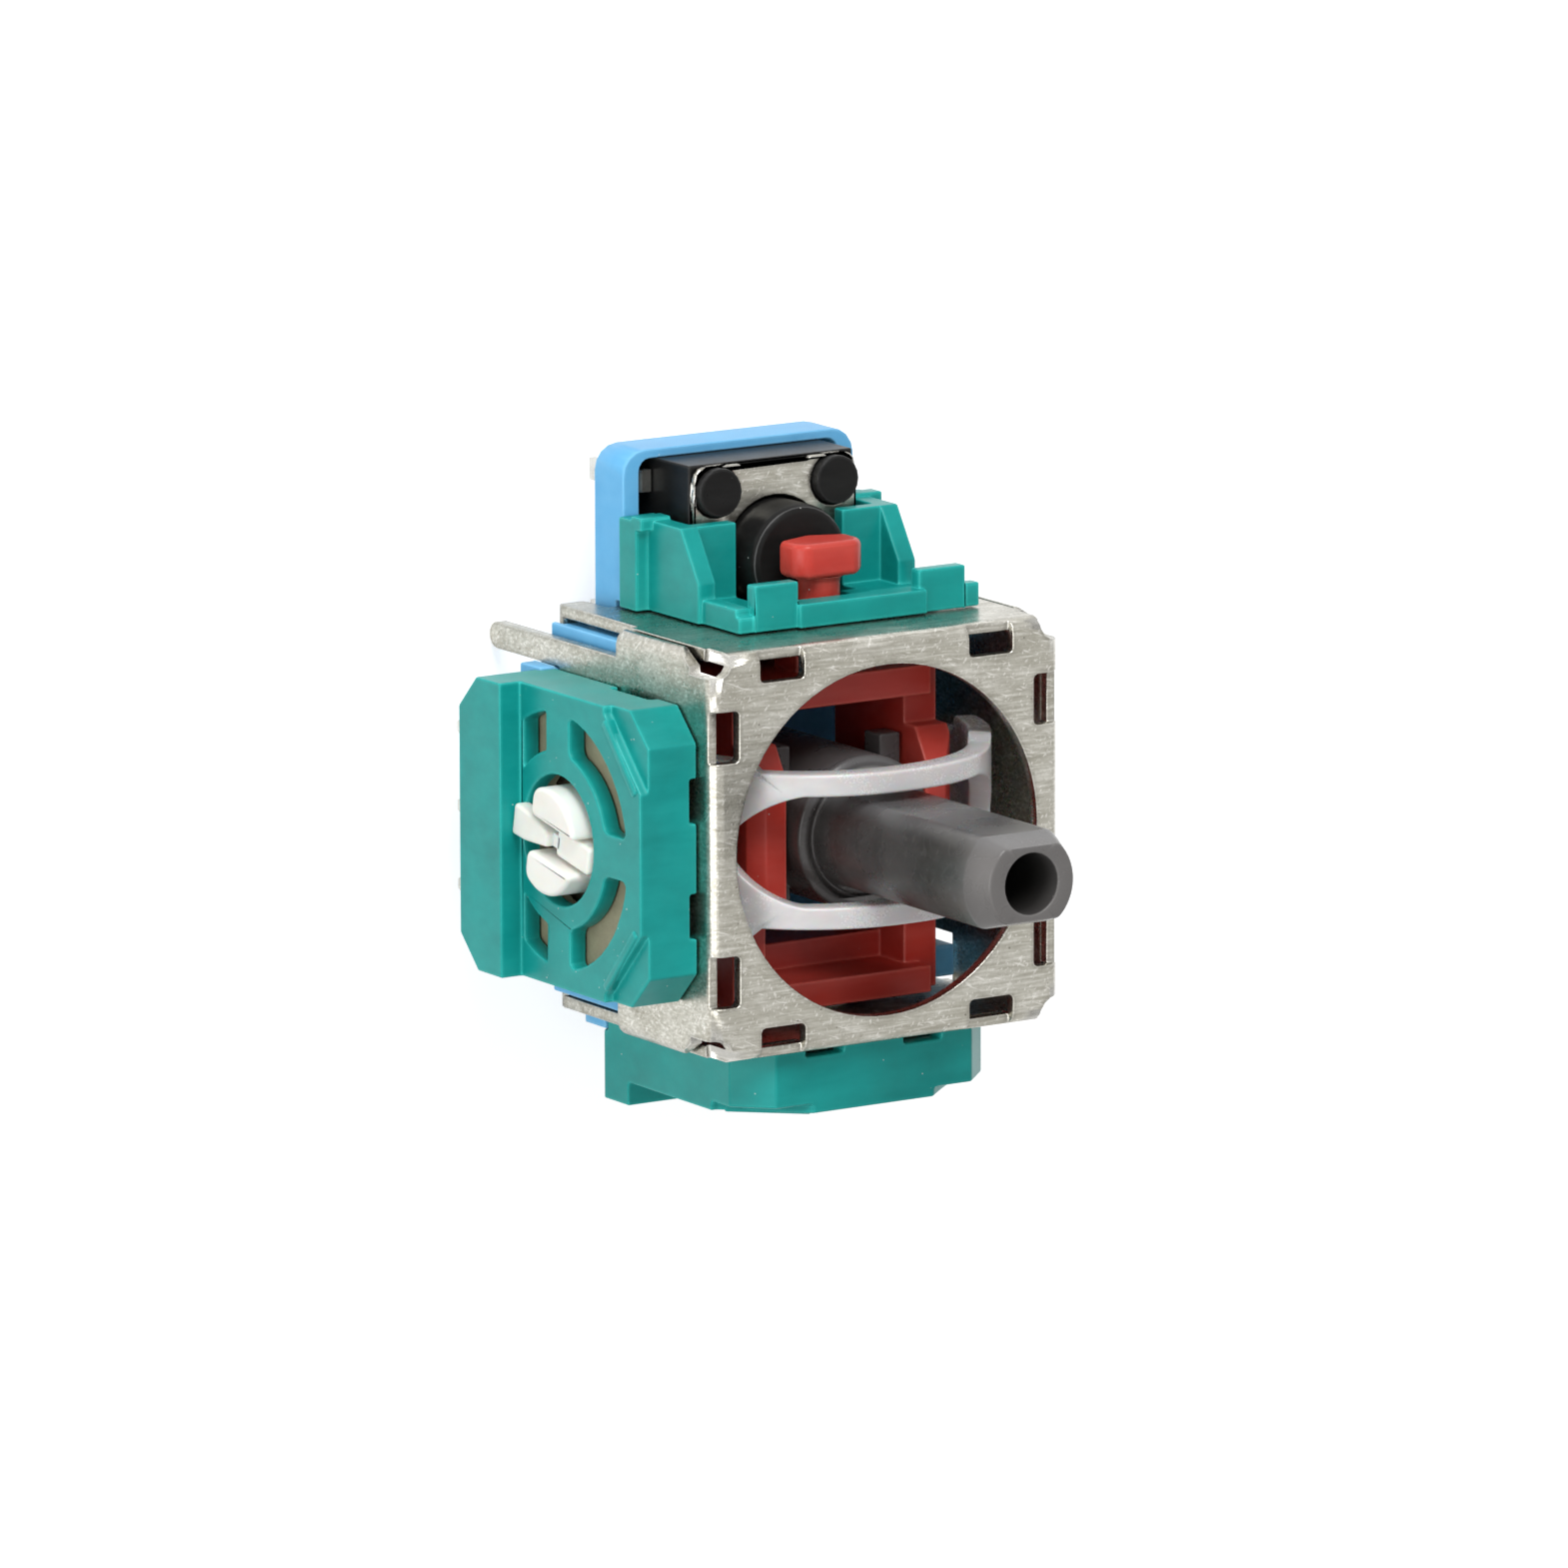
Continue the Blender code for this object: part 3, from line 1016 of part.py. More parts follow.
def build_bracket():
    """Bracket that clips over the switch: floor, rim, tabs, two walls with gussets, two wings."""
    y0 = BRACKET_Y
    half = BRACKET_HALF
    low = SWITCH_TOP + RIVET_RISE + SEAT_GAP
    front = BRACKET_FRONT
    rim_top = BRACKET_FLOOR_TOP + RIM_RISE
    bracket = block((-half, y0, low), (half, BRACKET_FLOOR_TOP, front))
    join(bracket, block((RIM_LEFT, y0, front - RIM_DEEP), (RIM_RIGHT, rim_top, front + RIM_NOSE)))
    join(bracket, block((-half, y0, low), (LEFT_TAB_OUT, rim_top, front - RIM_NOSE)))
    tab_low = front - TAB_DEEP
    tab_front = front + SEAT_GAP / 2
    join(bracket, block((LEFT_TAB_OUT, y0, tab_low), (RIM_LEFT + SEAT_GAP, y0 + LEFT_TAB_TOP, tab_front)))
    join(bracket, block((RIGHT_TAB_IN, y0, tab_low), (RIGHT_TAB_OUT, y0 + RIGHT_TAB_TOP, tab_front)))
    join(bracket, block((RIGHT_TAB_IN, y0, tab_low), (RIGHT_STEP_OUT, y0 + RIGHT_STEP_TOP, tab_front - SEAT_GAP)))
    wall_top = y0 + BRACKET_TOP
    wall_face = low + BRACKET_WALL
    reach = SWITCH_SIZE / 2 + BRACKET_REACH
    gusset = SWITCH_SIZE / 2 + GUSSET_NEAR
    wing = SWITCH_SIZE / 2 + BRACKET_ROOM
    foot = POCKET_RIM + SEAT_GAP
    for side in (-1, 1):
        near, far = sorted((side * BRACKET_OPEN, side * reach))
        join(bracket, block((near, y0, low), (far, wall_top, wall_face)))
        near, far = sorted((side * gusset, side * reach))
        join(bracket, block((near, y0, foot + WING_THICK / 2), (far, wall_top, low + BRACKET_WALL / 2)))
        slope = [(y0, wall_face - RUN_GAP), (wall_top, wall_face - RUN_GAP), (wall_top, wall_face)]
        slope += [(wall_top - GUSSET_FALL, wall_face + GUSSET_DEEP), (y0, wall_face + GUSSET_DEEP)]
        join(bracket, slab([slope], near, far, YZ))
        near, far = sorted((side * wing, side * (SWITCH_SIZE / 2 + WING_OUT)))
        join(bracket, block((near, y0, foot), (far, wall_top, foot + WING_THICK)))
        near, far = sorted((side * gusset, side * (SWITCH_SIZE / 2 + WING_OUT)))
        cap = foot + WING_THICK - WING_CAP
        join(bracket, block((near, wall_top - WING_CAP, cap), (far, wall_top + WING_RISE, cap + 2 * WING_CAP)))
    open_low = PLUNGER_TOP + RUN_GAP
    plunger_half = PLUNGER_RADIUS + 2 * RUN_GAP
    slot_floor = BRACKET_FLOOR_TOP + CUT_OVER
    cut(bracket, block((-plunger_half, 0.0, 0.0), (plunger_half, wall_top + CUT_OVER, open_low)))
    cut(bracket, block((-NECK_SLOT, 0.0, 0.0), (NECK_SLOT, slot_floor, NECK_SLOT_TOP)))
    return keep(bracket, "switch_bracket", "green")


def build_all():
    build_frame()
    build_base()
    build_switch()
    build_bracket()
    sensors = {"pot_x": pot_frame(0.0), "pot_y": pot_frame(math.pi / 2)}
    axis = {"pot_x": (-HALF, 0.0, PIVOT_HEIGHT), "pot_y": (0.0, -HALF, PIVOT_HEIGHT)}
    rotors = {}
    for name, frame in sensors.items():
        build_cover(frame, name + "_cover")
        build_board(frame, name + "_board")
        build_pins(frame, name + "_terminal")
        rotor = add_key(build_rotor(frame), frame)
        rotors[name] = keep(rotor, name + "_rotor", "white", axis[name])
        keep(build_wiper(frame), name + "_wiper", "tin", axis[name], rotors[name])
    pivot = (0.0, 0.0, PIVOT_HEIGHT)
    keep(build_upper_arm(), "upper_arm", "arm", pivot, rotors["pot_x"])
    rock = (0.0, -HALF, PIVOT_HEIGHT)
    lower_arm = keep(build_lower_arm(), "lower_arm", "red", rock, rotors["pot_y"])
    lever = keep(build_lever(), "lever", "lever", pivot, lower_arm)
    keep(build_foot(), "spring_foot", "white", pivot, lever)
    keep(build_spring(), "return_spring", "spring", pivot, lever)


clear_scene()
PARTS = make_collection("analog_stick")
TOOLS = make_collection("analog_stick_cutters")
build_all()
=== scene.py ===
"""The looks of a game controller's thumb stick module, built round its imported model.

Everything is in metres, in the model's own frame: the stick stands along +Z, the press switch
is at +Y and the position sensors are at -X and -Y. Sizes are written in millimetres and
multiplied by MM, and the patterns in the materials are laid out in millimetres too.
"""
import json
import math

import bmesh
import bpy
import numpy as np
from mathutils import Matrix, Vector


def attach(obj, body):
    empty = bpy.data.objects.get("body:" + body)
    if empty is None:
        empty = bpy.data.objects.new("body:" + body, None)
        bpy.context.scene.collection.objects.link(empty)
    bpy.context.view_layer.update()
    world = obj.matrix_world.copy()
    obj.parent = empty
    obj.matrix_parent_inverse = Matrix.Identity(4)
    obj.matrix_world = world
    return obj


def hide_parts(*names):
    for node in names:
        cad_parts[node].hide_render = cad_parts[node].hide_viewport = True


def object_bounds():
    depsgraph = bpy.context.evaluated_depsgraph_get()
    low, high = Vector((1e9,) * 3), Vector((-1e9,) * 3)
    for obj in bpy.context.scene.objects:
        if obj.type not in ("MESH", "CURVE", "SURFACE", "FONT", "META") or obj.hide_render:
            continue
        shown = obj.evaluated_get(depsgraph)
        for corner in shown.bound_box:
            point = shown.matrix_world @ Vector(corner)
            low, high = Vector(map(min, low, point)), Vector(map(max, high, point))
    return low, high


MM = 0.001

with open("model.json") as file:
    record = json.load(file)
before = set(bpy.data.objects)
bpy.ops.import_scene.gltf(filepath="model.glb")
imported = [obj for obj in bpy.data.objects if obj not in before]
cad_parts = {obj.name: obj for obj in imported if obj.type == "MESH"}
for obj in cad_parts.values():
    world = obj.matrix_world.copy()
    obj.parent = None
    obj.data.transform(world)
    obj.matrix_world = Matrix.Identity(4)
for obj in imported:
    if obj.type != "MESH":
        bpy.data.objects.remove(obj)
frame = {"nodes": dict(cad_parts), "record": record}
CAD_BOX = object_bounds()
NODES = frame["nodes"]
RECORD = frame["record"]
BODY_OF = {node: body for body, nodes in RECORD["behaviour"]["bodies"].items() for node in nodes}
SLOT_OF = {part["node"]: part["material_slot"] for part in RECORD["subparts"]}
JOINTS = {joint["name"]: joint for joint in RECORD["behaviour"]["joints"]}

# Sizes that several pieces share, in millimetres
LOWEST = round(CAD_BOX[0][2] / MM, 3)
TIP = round(CAD_BOX[1][2] / MM, 3)
PIVOT = round(JOINTS["tilt_side"]["pos_m"][2] / MM, 3)
FRAME_HALF = 6.4
FRAME_TOP = 10.2
SHEET = 0.4
CEILING = FRAME_TOP - SHEET
HUB_TOP = PIVOT + 4.4
LEVER_FLAT = 1.43
HEAD_BASE = 7.02
SOFT_EDGE = 0.05


# Material tools
class Web:
    """The nodes of one material or group, made and joined by short calls."""

    def __init__(self, tree):
        self.tree = tree

    def join(self, value, socket):
        """Link a socket, or write a plain value on it."""
        if isinstance(value, bpy.types.NodeSocket):
            self.tree.links.new(value, socket)
        elif isinstance(value, (tuple, list)) and len(value) == 3 and len(socket.default_value) == 4:
            socket.default_value = (*value, 1.0)
        else:
            socket.default_value = value

    def add(self, kind, inputs=(), **settings):
        """A node with its settings, then its inputs, by name or number."""
        made = self.tree.nodes.new("ShaderNode" + kind)
        for name, value in settings.items():
            setattr(made, name, value)
        for name, value in dict(inputs).items():
            self.join(value, made.inputs[name])
        return made

    def calc(self, operation, first, second, clamp=False):
        made = self.add("Math", {0: first, 1: second}, operation=operation, use_clamp=clamp)
        return made.outputs[0]

    def plus(self, first, second):
        return self.calc("ADD", first, second)

    def times(self, first, second):
        return self.calc("MULTIPLY", first, second)

    def blend(self, factor, first, second):
        made = self.add("Mix", data_type="RGBA", blend_type="MIX")
        for name, value in (("Factor_Float", factor), ("A_Color", first), ("B_Color", second)):
            self.join(value, next(s for s in made.inputs if s.identifier == name))
        return next(s for s in made.outputs if s.identifier == "Result_Color")

    def layers(self, tone, *coats):
        """Lay colours over a tone in turn: each coat is a mask, its share and its colour."""
        for mask, share, colour in coats:
            tone = self.blend(self.times(mask, share), tone, colour)
        return tone

    def spread(self, value, low, high, out_low=0.0, out_high=1.0, smooth=False):
        """Map a value from one range to another, held at both ends."""
        made = self.add(
            "MapRange",
            {"Value": value, "From Min": low, "From Max": high, "To Min": out_low, "To Max": out_high},
            interpolation_type="SMOOTHSTEP" if smooth else "LINEAR",
        )
        return made.outputs["Result"]

    def noise(self, vector, scale, detail, rough):
        made = self.add("TexNoise", {"Vector": vector, "Scale": scale, "Detail": detail, "Roughness": rough})
        return made.outputs["Fac"]

    def stretch(self, vector, turn, scale):
        made = self.add("Mapping", {"Vector": vector, "Rotation": turn, "Scale": scale})
        return made.outputs["Vector"]


def new_group(name, inputs, outputs):
    """An empty shader group with its sockets; gives its web, its inputs and its exit."""
    tree = bpy.data.node_groups.new(name, "ShaderNodeTree")
    for title, kind, value in inputs:
        made = tree.interface.new_socket(title, in_out="INPUT", socket_type="NodeSocket" + kind)
        if value is not None:
            made.default_value = value
    for title in outputs:
        tree.interface.new_socket(title, in_out="OUTPUT", socket_type="NodeSocketFloat")
    entry = tree.nodes.new("NodeGroupInput")
    leave = tree.nodes.new("NodeGroupOutput")
    return Web(tree), entry.outputs, leave.inputs


def edge_group():
    """Where a surface turns a corner: one less the cosine between its own and its rounded normal."""
    web, entry, leave = new_group("turned_edges", [("Radius", "Float", 0.1 * MM)], ["Mask"])
    rounded = web.add("Bevel", {"Radius": entry["Radius"]}, samples=6).outputs[0]
    plain = web.add("NewGeometry").outputs["True Normal"]
    same = web.add("VectorMath", {0: rounded, 1: plain}, operation="DOT_PRODUCT")
    turned_away = web.calc("SUBTRACT", 1.0, same.outputs["Value"])
    web.join(web.spread(turned_away, 0.01, 0.22), leave["Mask"])
    return web.tree


def skin_group():
    """Slow clouds of tone, faint flow lines drawn out one way, and a fine grain."""
    inputs = [("Vector", "Vector", None), ("Cloud Scale", "Float", 0.45), ("Grain Scale", "Float", 16.0)]
    web, entry, leave = new_group("clouded_skin", inputs, ["Cloud", "Flow", "Grain"])
    cloud = web.noise(entry["Vector"], entry["Cloud Scale"], 4.0, 0.55)
    drawn = web.stretch(entry["Vector"], (0.3, 0.2, 0.5), (0.35, 1.3, 0.8))
    flow = web.noise(drawn, 1.0, 3.0, 0.6)
    grain = web.noise(entry["Vector"], entry["Grain Scale"], 2.0, 0.6)
    web.join(web.spread(cloud, 0.3, 0.7), leave["Cloud"])
    web.join(web.spread(flow, 0.35, 0.68), leave["Flow"])
    web.join(grain, leave["Grain"])
    return web.tree


def speck_group():
    """Dust specks and pits: a dot in a share of the cells of a fine cell pattern."""
    inputs = [
        ("Vector", "Vector", None),
        ("Cells", "Float", 2.6),
        ("Share", "Float", 0.12),
        ("Size", "Float", 0.07),
    ]
    web, entry, leave = new_group("dust_specks", inputs, ["Mask"])
    cells = web.add("TexVoronoi", {"Vector": entry["Vector"], "Scale": entry["Cells"], "Randomness": 1.0})
    chance = web.add("SeparateColor", {0: cells.outputs["Color"]})
    chosen = web.calc("LESS_THAN", chance.outputs[0], entry["Share"])
    size = web.times(entry["Size"], web.plus(chance.outputs[1], 0.35))
    near = web.calc("LESS_THAN", cells.outputs["Distance"], size)
    web.join(web.times(chosen, near), leave["Mask"])
    return web.tree


def scratch_group():
    """Hairline scratches: thin ridges of noise drawn out along three directions."""
    inputs = [("Vector", "Vector", None), ("Length", "Float", 0.5), ("Fineness", "Float", 14.0)]
    web, entry, leave = new_group("hairlines", inputs, ["Mask"])
    size = web.add("CombineXYZ", {0: entry["Length"], 1: entry["Fineness"], 2: entry["Fineness"]}).outputs[0]
    marks = []
    for turn in ((0.2, 0.1, 0.35), (0.5, -0.3, -0.9), (-0.4, 0.6, 1.9)):
        spun = web.add("Mapping", {"Vector": entry["Vector"], "Rotation": turn}).outputs[0]
        scaled = web.add("VectorMath", {0: spun, 1: size}, operation="MULTIPLY").outputs[0]
        marks.append(web.spread(web.noise(scaled, 1.0, 1.0, 0.4), 0.66, 0.74))
    first, second, third = marks
    web.join(web.calc("MAXIMUM", first, web.calc("MAXIMUM", second, third)), leave["Mask"])
    return web.tree


def smudge_group():
    """Patches of handling dirt: broad clouds broken up by a finer noise."""
    inputs = [("Vector", "Vector", None), ("Scale", "Float", 0.5), ("Cover", "Float", 0.4)]
    web, entry, leave = new_group("smudges", inputs, ["Mask"])
    broad = web.noise(entry["Vector"], entry["Scale"], 5.0, 0.62)
    fine = web.noise(entry["Vector"], web.times(entry["Scale"], 9.0), 3.0, 0.6)
    both = web.plus(web.times(broad, 0.72), web.times(fine, 0.28))
    start = web.calc("SUBTRACT", 0.72, web.times(entry["Cover"], 0.4))
    web.join(web.spread(both, start, web.plus(start, 0.16), smooth=True), leave["Mask"])
    return web.tree


EDGES = edge_group()
SKIN = skin_group()
SPECKS = speck_group()
HAIRLINES = scratch_group()
SMUDGES = smudge_group()


class Finish:
    """One material: its shader, a vector in millimetres and the shared effects."""

    def __init__(self, name, **shader):
        self.material = bpy.data.materials.new(name)
        self.material.use_nodes = True
        tree = self.material.node_tree
        self.web = Web(tree)
        self.shader = tree.nodes["Principled BSDF"]
        for title, value in shader.items():
            self.web.join(value, self.shader.inputs[title.replace("_", " ")])
        place = self.web.add("TexCoord").outputs["Object"]
        self.vector = self.web.stretch(place, (0.0, 0.0, 0.0), (1 / MM, 1 / MM, 1 / MM))

    def effect(self, tree, **values):
        """A shared effect with this material's own values; gives its output or outputs."""
        made = self.web.tree.nodes.new("ShaderNodeGroup")
        made.node_tree = tree
        for title, value in values.items():
            self.web.join(value, made.inputs[title.replace("_", " ")])
        if "Vector" in made.inputs:
            self.web.join(self.vector, made.inputs["Vector"])
        return made.outputs[0] if len(made.outputs) == 1 else list(made.outputs)

    def feed(self, title, value):
        self.web.join(value, self.shader.inputs[title])

    def bump(self, height, strength, distance):
        made = self.web.add("Bump", {"Height": height, "Strength": strength, "Distance": distance})
        self.feed("Normal", made.outputs[0])


# Finishes
def moulding(name, color, pale_and_edge_highlight, shade, rough=0.34, dust=0.14, flow_share=0.10, index=1.5, **shader):
    """Moulded plastic: clouded tone, painted highlights along its edges, fine grain and a few specks of dust.
    """
    finish = Finish(name, IOR=index, **shader)
    web = finish.web
    cloud, flow, fine = finish.effect(SKIN)
    # painted highlight: this edge mask lays a pale colour along the turned edges
    edge = finish.effect(EDGES, Radius=0.17 * MM)
    specks = finish.effect(SPECKS, Cells=3.4, Share=dust, Size=0.075)
    tone = web.layers(
        web.blend(cloud, shade, color),
        (flow, flow_share, pale_and_edge_highlight),
        # painted highlight along the turned edges
        (edge, 0.90, pale_and_edge_highlight),
        (specks, 0.60, (0.75, 0.78, 0.76)),
    )
    finish.feed("Base Color", tone)
    mixed = web.plus(web.times(cloud, 0.08), web.times(fine, 0.10))
    finish.feed("Roughness", web.plus(mixed, rough - 0.09))
    finish.bump(web.plus(web.times(fine, 0.5), web.times(cloud, 0.8)), 0.10, 0.02 * MM)
    return finish.material


def smoky_resin():
    """The lever's smoky resin: brownish at the hub, paler towards the tip and in flow marks, with a painted
    highlight on the +Y flat and along edges, and painted shade that darkens its bore."""
    finish = Finish("smoky_lever", IOR=1.5, Specular_IOR_Level=0.35, Transmission_Weight=0.08)
    web = finish.web
    cloud, flow, fine = finish.effect(SKIN, Cloud_Scale=0.55)
    marks = finish.effect(SMUDGES, Scale=0.45, Cover=0.34)
    lines = finish.effect(HAIRLINES, Length=0.9, Fineness=5.0)
    specks = finish.effect(SPECKS, Share=0.14, Size=0.05)
    # painted highlight: this edge mask lays a pale colour along the turned edges
    edge = finish.effect(EDGES, Radius=0.11 * MM)
    x, y, z = web.add("SeparateXYZ", {0: finish.vector}).outputs
    hub = web.spread(z, HUB_TOP + 0.6, HUB_TOP - 1.6, smooth=True)
    tip = web.spread(z, TIP - 1.8, TIP - 0.2, smooth=True)
    # painted highlight: the +Y flat, which faces the key lamp, is made paler
    flat = web.spread(y, LEVER_FLAT - 0.53, LEVER_FLAT - 0.03, smooth=True)
    squared_radius = web.plus(web.times(x, x), web.times(y, y))
    # painted shade: the bore is made near black down from its mouth
    inside = web.spread(squared_radius, 0.95, 0.90)
    deep = web.spread(z, TIP - 0.04, TIP - 0.8, 0.75, 0.98)
    bore = web.times(web.times(inside, deep), web.calc("GREATER_THAN", z, TIP - 4.2))
    tone = web.layers(
        web.blend(cloud, (0.032, 0.030, 0.029), (0.060, 0.058, 0.057)),
        (hub, 0.65, (0.070, 0.050, 0.046)),
        (flow, 0.18, (0.120, 0.117, 0.115)),
        (tip, 0.70, (0.190, 0.180, 0.175)),
        # painted highlight on the +Y flat
        (flat, 0.38, (0.20, 0.20, 0.205)),
        (marks, 0.32, (0.150, 0.155, 0.165)),
        (lines, 0.05, (0.30, 0.295, 0.29)),
        # painted highlight along the edges
        (edge, 0.60, (0.36, 0.35, 0.345)),
        (specks, 0.60, (0.62, 0.60, 0.58)),
        # painted shade down the bore
        (bore, 1.00, (0.006, 0.005, 0.004)),
    )
    finish.feed("Base Color", tone)
    finish.feed("Roughness", web.plus(web.times(cloud, 0.12), web.spread(bore, 0.0, 1.0, 0.22, 0.8)))
    finish.bump(web.plus(fine, web.times(flow, 1.5)), 0.08, 0.02 * MM)
    return finish.material


def steel_sheet():
    """Stamped tin-plated steel: brushed along X, with hairlines, pits and smears, a painted highlight along
    bends and edges, and painted shade along borders and round the slots."""
    finish = Finish("steel_sheet", Metallic=1.0, IOR=2.2)
    web = finish.web
    cloud, flow, fine = finish.effect(SKIN, Cloud_Scale=0.8, Grain_Scale=9.0)
    lines = finish.effect(HAIRLINES, Length=0.7, Fineness=11.0)
    pits = finish.effect(SPECKS, Cells=3.6, Share=0.30, Size=0.10)
    smears = finish.effect(SMUDGES, Scale=0.62, Cover=0.40)
    # painted highlight: this edge mask lays a pale colour along bends and edges
    edge = finish.effect(EDGES, Radius=0.10 * MM)
    # painted shade: this wide edge mask lays a dark band along borders and round the slots
    border = finish.effect(EDGES, Radius=0.34 * MM)
    brushed = web.noise(web.stretch(finish.vector, (0.0, 0.0, 0.06), (0.9, 11.0, 5.0)), 1.0, 3.0, 0.6)
    dull, bright = (0.27, 0.255, 0.21), (0.82, 0.805, 0.75)
    tone = web.layers(
        web.blend(cloud, (0.42, 0.405, 0.35), (0.57, 0.555, 0.50)),
        (flow, 0.50, (0.33, 0.315, 0.255)),
        (web.spread(brushed, 0.48, 0.66), 0.55, dull),
        (web.spread(brushed, 0.46, 0.30), 0.50, bright),
        (web.spread(fine, 0.50, 0.70), 0.25, dull),
        (lines, 0.50, (0.86, 0.84, 0.79)),
        # painted shade along borders and round the slots
        (border, 0.65, (0.11, 0.10, 0.080)),
        (smears, 0.65, (0.16, 0.145, 0.105)),
        (pits, 0.65, (0.11, 0.10, 0.08)),
        # painted highlight along bends and edges
        (edge, 0.55, (0.80, 0.79, 0.75)),
    )
    finish.feed("Base Color", tone)
    rough = web.plus(web.plus(web.times(fine, 0.18), web.times(cloud, 0.08)), 0.17)
    rough = web.calc("SUBTRACT", rough, web.times(edge, 0.08))
    finish.feed("Roughness", web.plus(rough, web.times(smears, 0.18)))
    height = web.calc("SUBTRACT", web.times(fine, 0.6), web.times(pits, 0.8))
    finish.bump(web.calc("SUBTRACT", height, web.times(lines, 0.25)), 0.45, 0.014 * MM)
    return finish.material


def plated_wire(name, low, high, rough):
    """Plated leads and springs: bright, slightly drawn along, dull in patches."""
    finish = Finish(name, Metallic=1.0)
    web = finish.web
    cloud, flow, fine = finish.effect(SKIN, Cloud_Scale=1.3)
    dirt = finish.effect(SMUDGES, Scale=1.1, Cover=0.4)
    finish.feed("Base Color", web.layers(web.blend(cloud, low, high), (dirt, 0.35, (0.30, 0.28, 0.25))))
    finish.feed("Roughness", web.plus(web.times(flow, 0.14), rough))
    finish.bump(fine, 0.2, 0.01 * MM)
    return finish.material


def resistor_board():
    """Speckled phenolic board, which shows through the covers' windows."""
    finish = Finish("resistor_board", Roughness=0.62)
    web = finish.web
    cloud, _, fine = finish.effect(SKIN, Cloud_Scale=1.1, Grain_Scale=24.0)
    tone = web.blend(cloud, (0.25, 0.225, 0.145), (0.335, 0.31, 0.20))
    finish.feed("Base Color", web.layers(tone, (web.spread(fine, 0.4, 0.7), 0.35, (0.16, 0.15, 0.10))))
    finish.bump(fine, 0.3, 0.015 * MM)
    return finish.material


# Each moulding has its own colour, a paler one for its flow lines and its painted edge highlights, and a
# deeper one
MATERIALS = {
    "steel": steel_sheet(),
    "tin": plated_wire("bright_tin", (0.50, 0.49, 0.45), (0.70, 0.69, 0.65), 0.22),
    "spring_steel": plated_wire("spring_wire", (0.40, 0.40, 0.41), (0.62, 0.62, 0.63), 0.16),
    "green_plastic": moulding(
        "green_moulding",
        (0.004, 0.300, 0.280),
        (0.050, 0.66, 0.61),
        (0.003, 0.240, 0.222),
        Specular_IOR_Level=0.22,
    ),
    "blue_plastic": moulding(
        "blue_moulding",
        (0.150, 0.480, 0.80),
        (0.36, 0.70, 0.95),
        (0.110, 0.40, 0.72),
        Specular_IOR_Level=0.12,
    ),
    "red_plastic": moulding(
        "red_moulding",
        (0.56, 0.044, 0.030),
        (0.86, 0.25, 0.20),
        (0.47, 0.034, 0.024),
        Specular_IOR_Level=0.30,
    ),
    "white_plastic": moulding(
        "white_moulding",
        (0.88, 0.88, 0.83),
        (0.95, 0.95, 0.92),
        (0.80, 0.795, 0.73),
        rough=0.42,
        Specular_IOR_Level=0.35,
        Subsurface_Weight=0.3,
        Subsurface_Scale=0.4 * MM,
    ),
    "clear_white_plastic": moulding(
        "milky_arm",
        (0.76, 0.75, 0.755),
        (0.98, 0.98, 0.98),
        (0.66, 0.645, 0.645),
        rough=0.26,
        dust=0.05,
        flow_share=0.35,
        index=1.48,
        Specular_IOR_Level=0.45,
        Transmission_Weight=0.22,
        Subsurface_Weight=0.40,
        Subsurface_Scale=0.5 * MM,
    ),
    "grey_plastic": smoky_resin(),
    "black_plastic": moulding(
        "black_moulding",
        (0.009, 0.0085, 0.008),
        (0.07, 0.07, 0.07),
        (0.007, 0.007, 0.007),
        rough=0.32,
        dust=0.20,
        index=1.52,
        Specular_IOR_Level=0.10,
    ),
    "board": resistor_board(),
}


# Shape tools
def link(name, mesh):
    obj = bpy.data.objects.new(name, mesh)
    bpy.context.scene.collection.objects.link(obj)
    return obj


def settle(obj):
    """Turn a piece's modifiers into its mesh."""
    graph = bpy.context.evaluated_depsgraph_get()
    mesh = bpy.data.meshes.new_from_object(obj.evaluated_get(graph))
    obj.modifiers.clear()
    obj.data = mesh


def dress(obj, node):
    """Shade the piece flat on its faces and smooth round its edges. It stands for its CAD node,
    moves with it and takes its finish."""
    obj.data.shade_smooth()
    obj.data.set_sharp_from_angle(angle=math.radians(42.0))
    flats = obj.modifiers.new("flat_faces", "WEIGHTED_NORMAL")
    flats.keep_sharp = True
    settle(obj)
    obj.data.materials.clear()
    obj.data.materials.append(MATERIALS[SLOT_OF[node]])
    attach(obj, BODY_OF[node])
    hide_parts(node)


def fillet(points, radius, steps=4, closed=False):
    """A polyline with bent corners: each is a quadratic curve that starts and ends one radius
    from the corner, or at 0.45 of its shorter side."""
    given = np.asarray(points, float)
    before, corner, after = np.roll(given, 1, axis=0), given, np.roll(given, -1, axis=0)
    if not closed:
        before, corner, after = before[1:-1], corner[1:-1], after[1:-1]
    back, ahead = before - corner, after - corner
    long_back = np.linalg.norm(back, axis=1)[:, None]
    long_ahead = np.linalg.norm(ahead, axis=1)[:, None]
    reach = np.minimum(radius, 0.45 * np.minimum(long_back, long_ahead))
    start = (corner + back / long_back * reach)[:, None]
    end = (corner + ahead / long_ahead * reach)[:, None]
    t = np.linspace(0.0, 1.0, steps + 1)[None, :, None]
    bent = (1 - t) ** 2 * start + 2 * t * (1 - t) * corner[:, None] + t**2 * end
    bent = bent.reshape(-1, given.shape[1])
    return bent if closed else np.vstack([given[:1], bent, given[-1:]])


def evenly(path, count):
    """The same path with evenly spaced points."""
    steps = np.linalg.norm(np.diff(path, axis=0), axis=1)
    along = np.concatenate([[0.0], np.cumsum(steps)])
    wanted = np.linspace(0.0, along[-1], count)
    return np.stack([np.interp(wanted, along, path[:, k]) for k in (0, 1)], axis=-1)


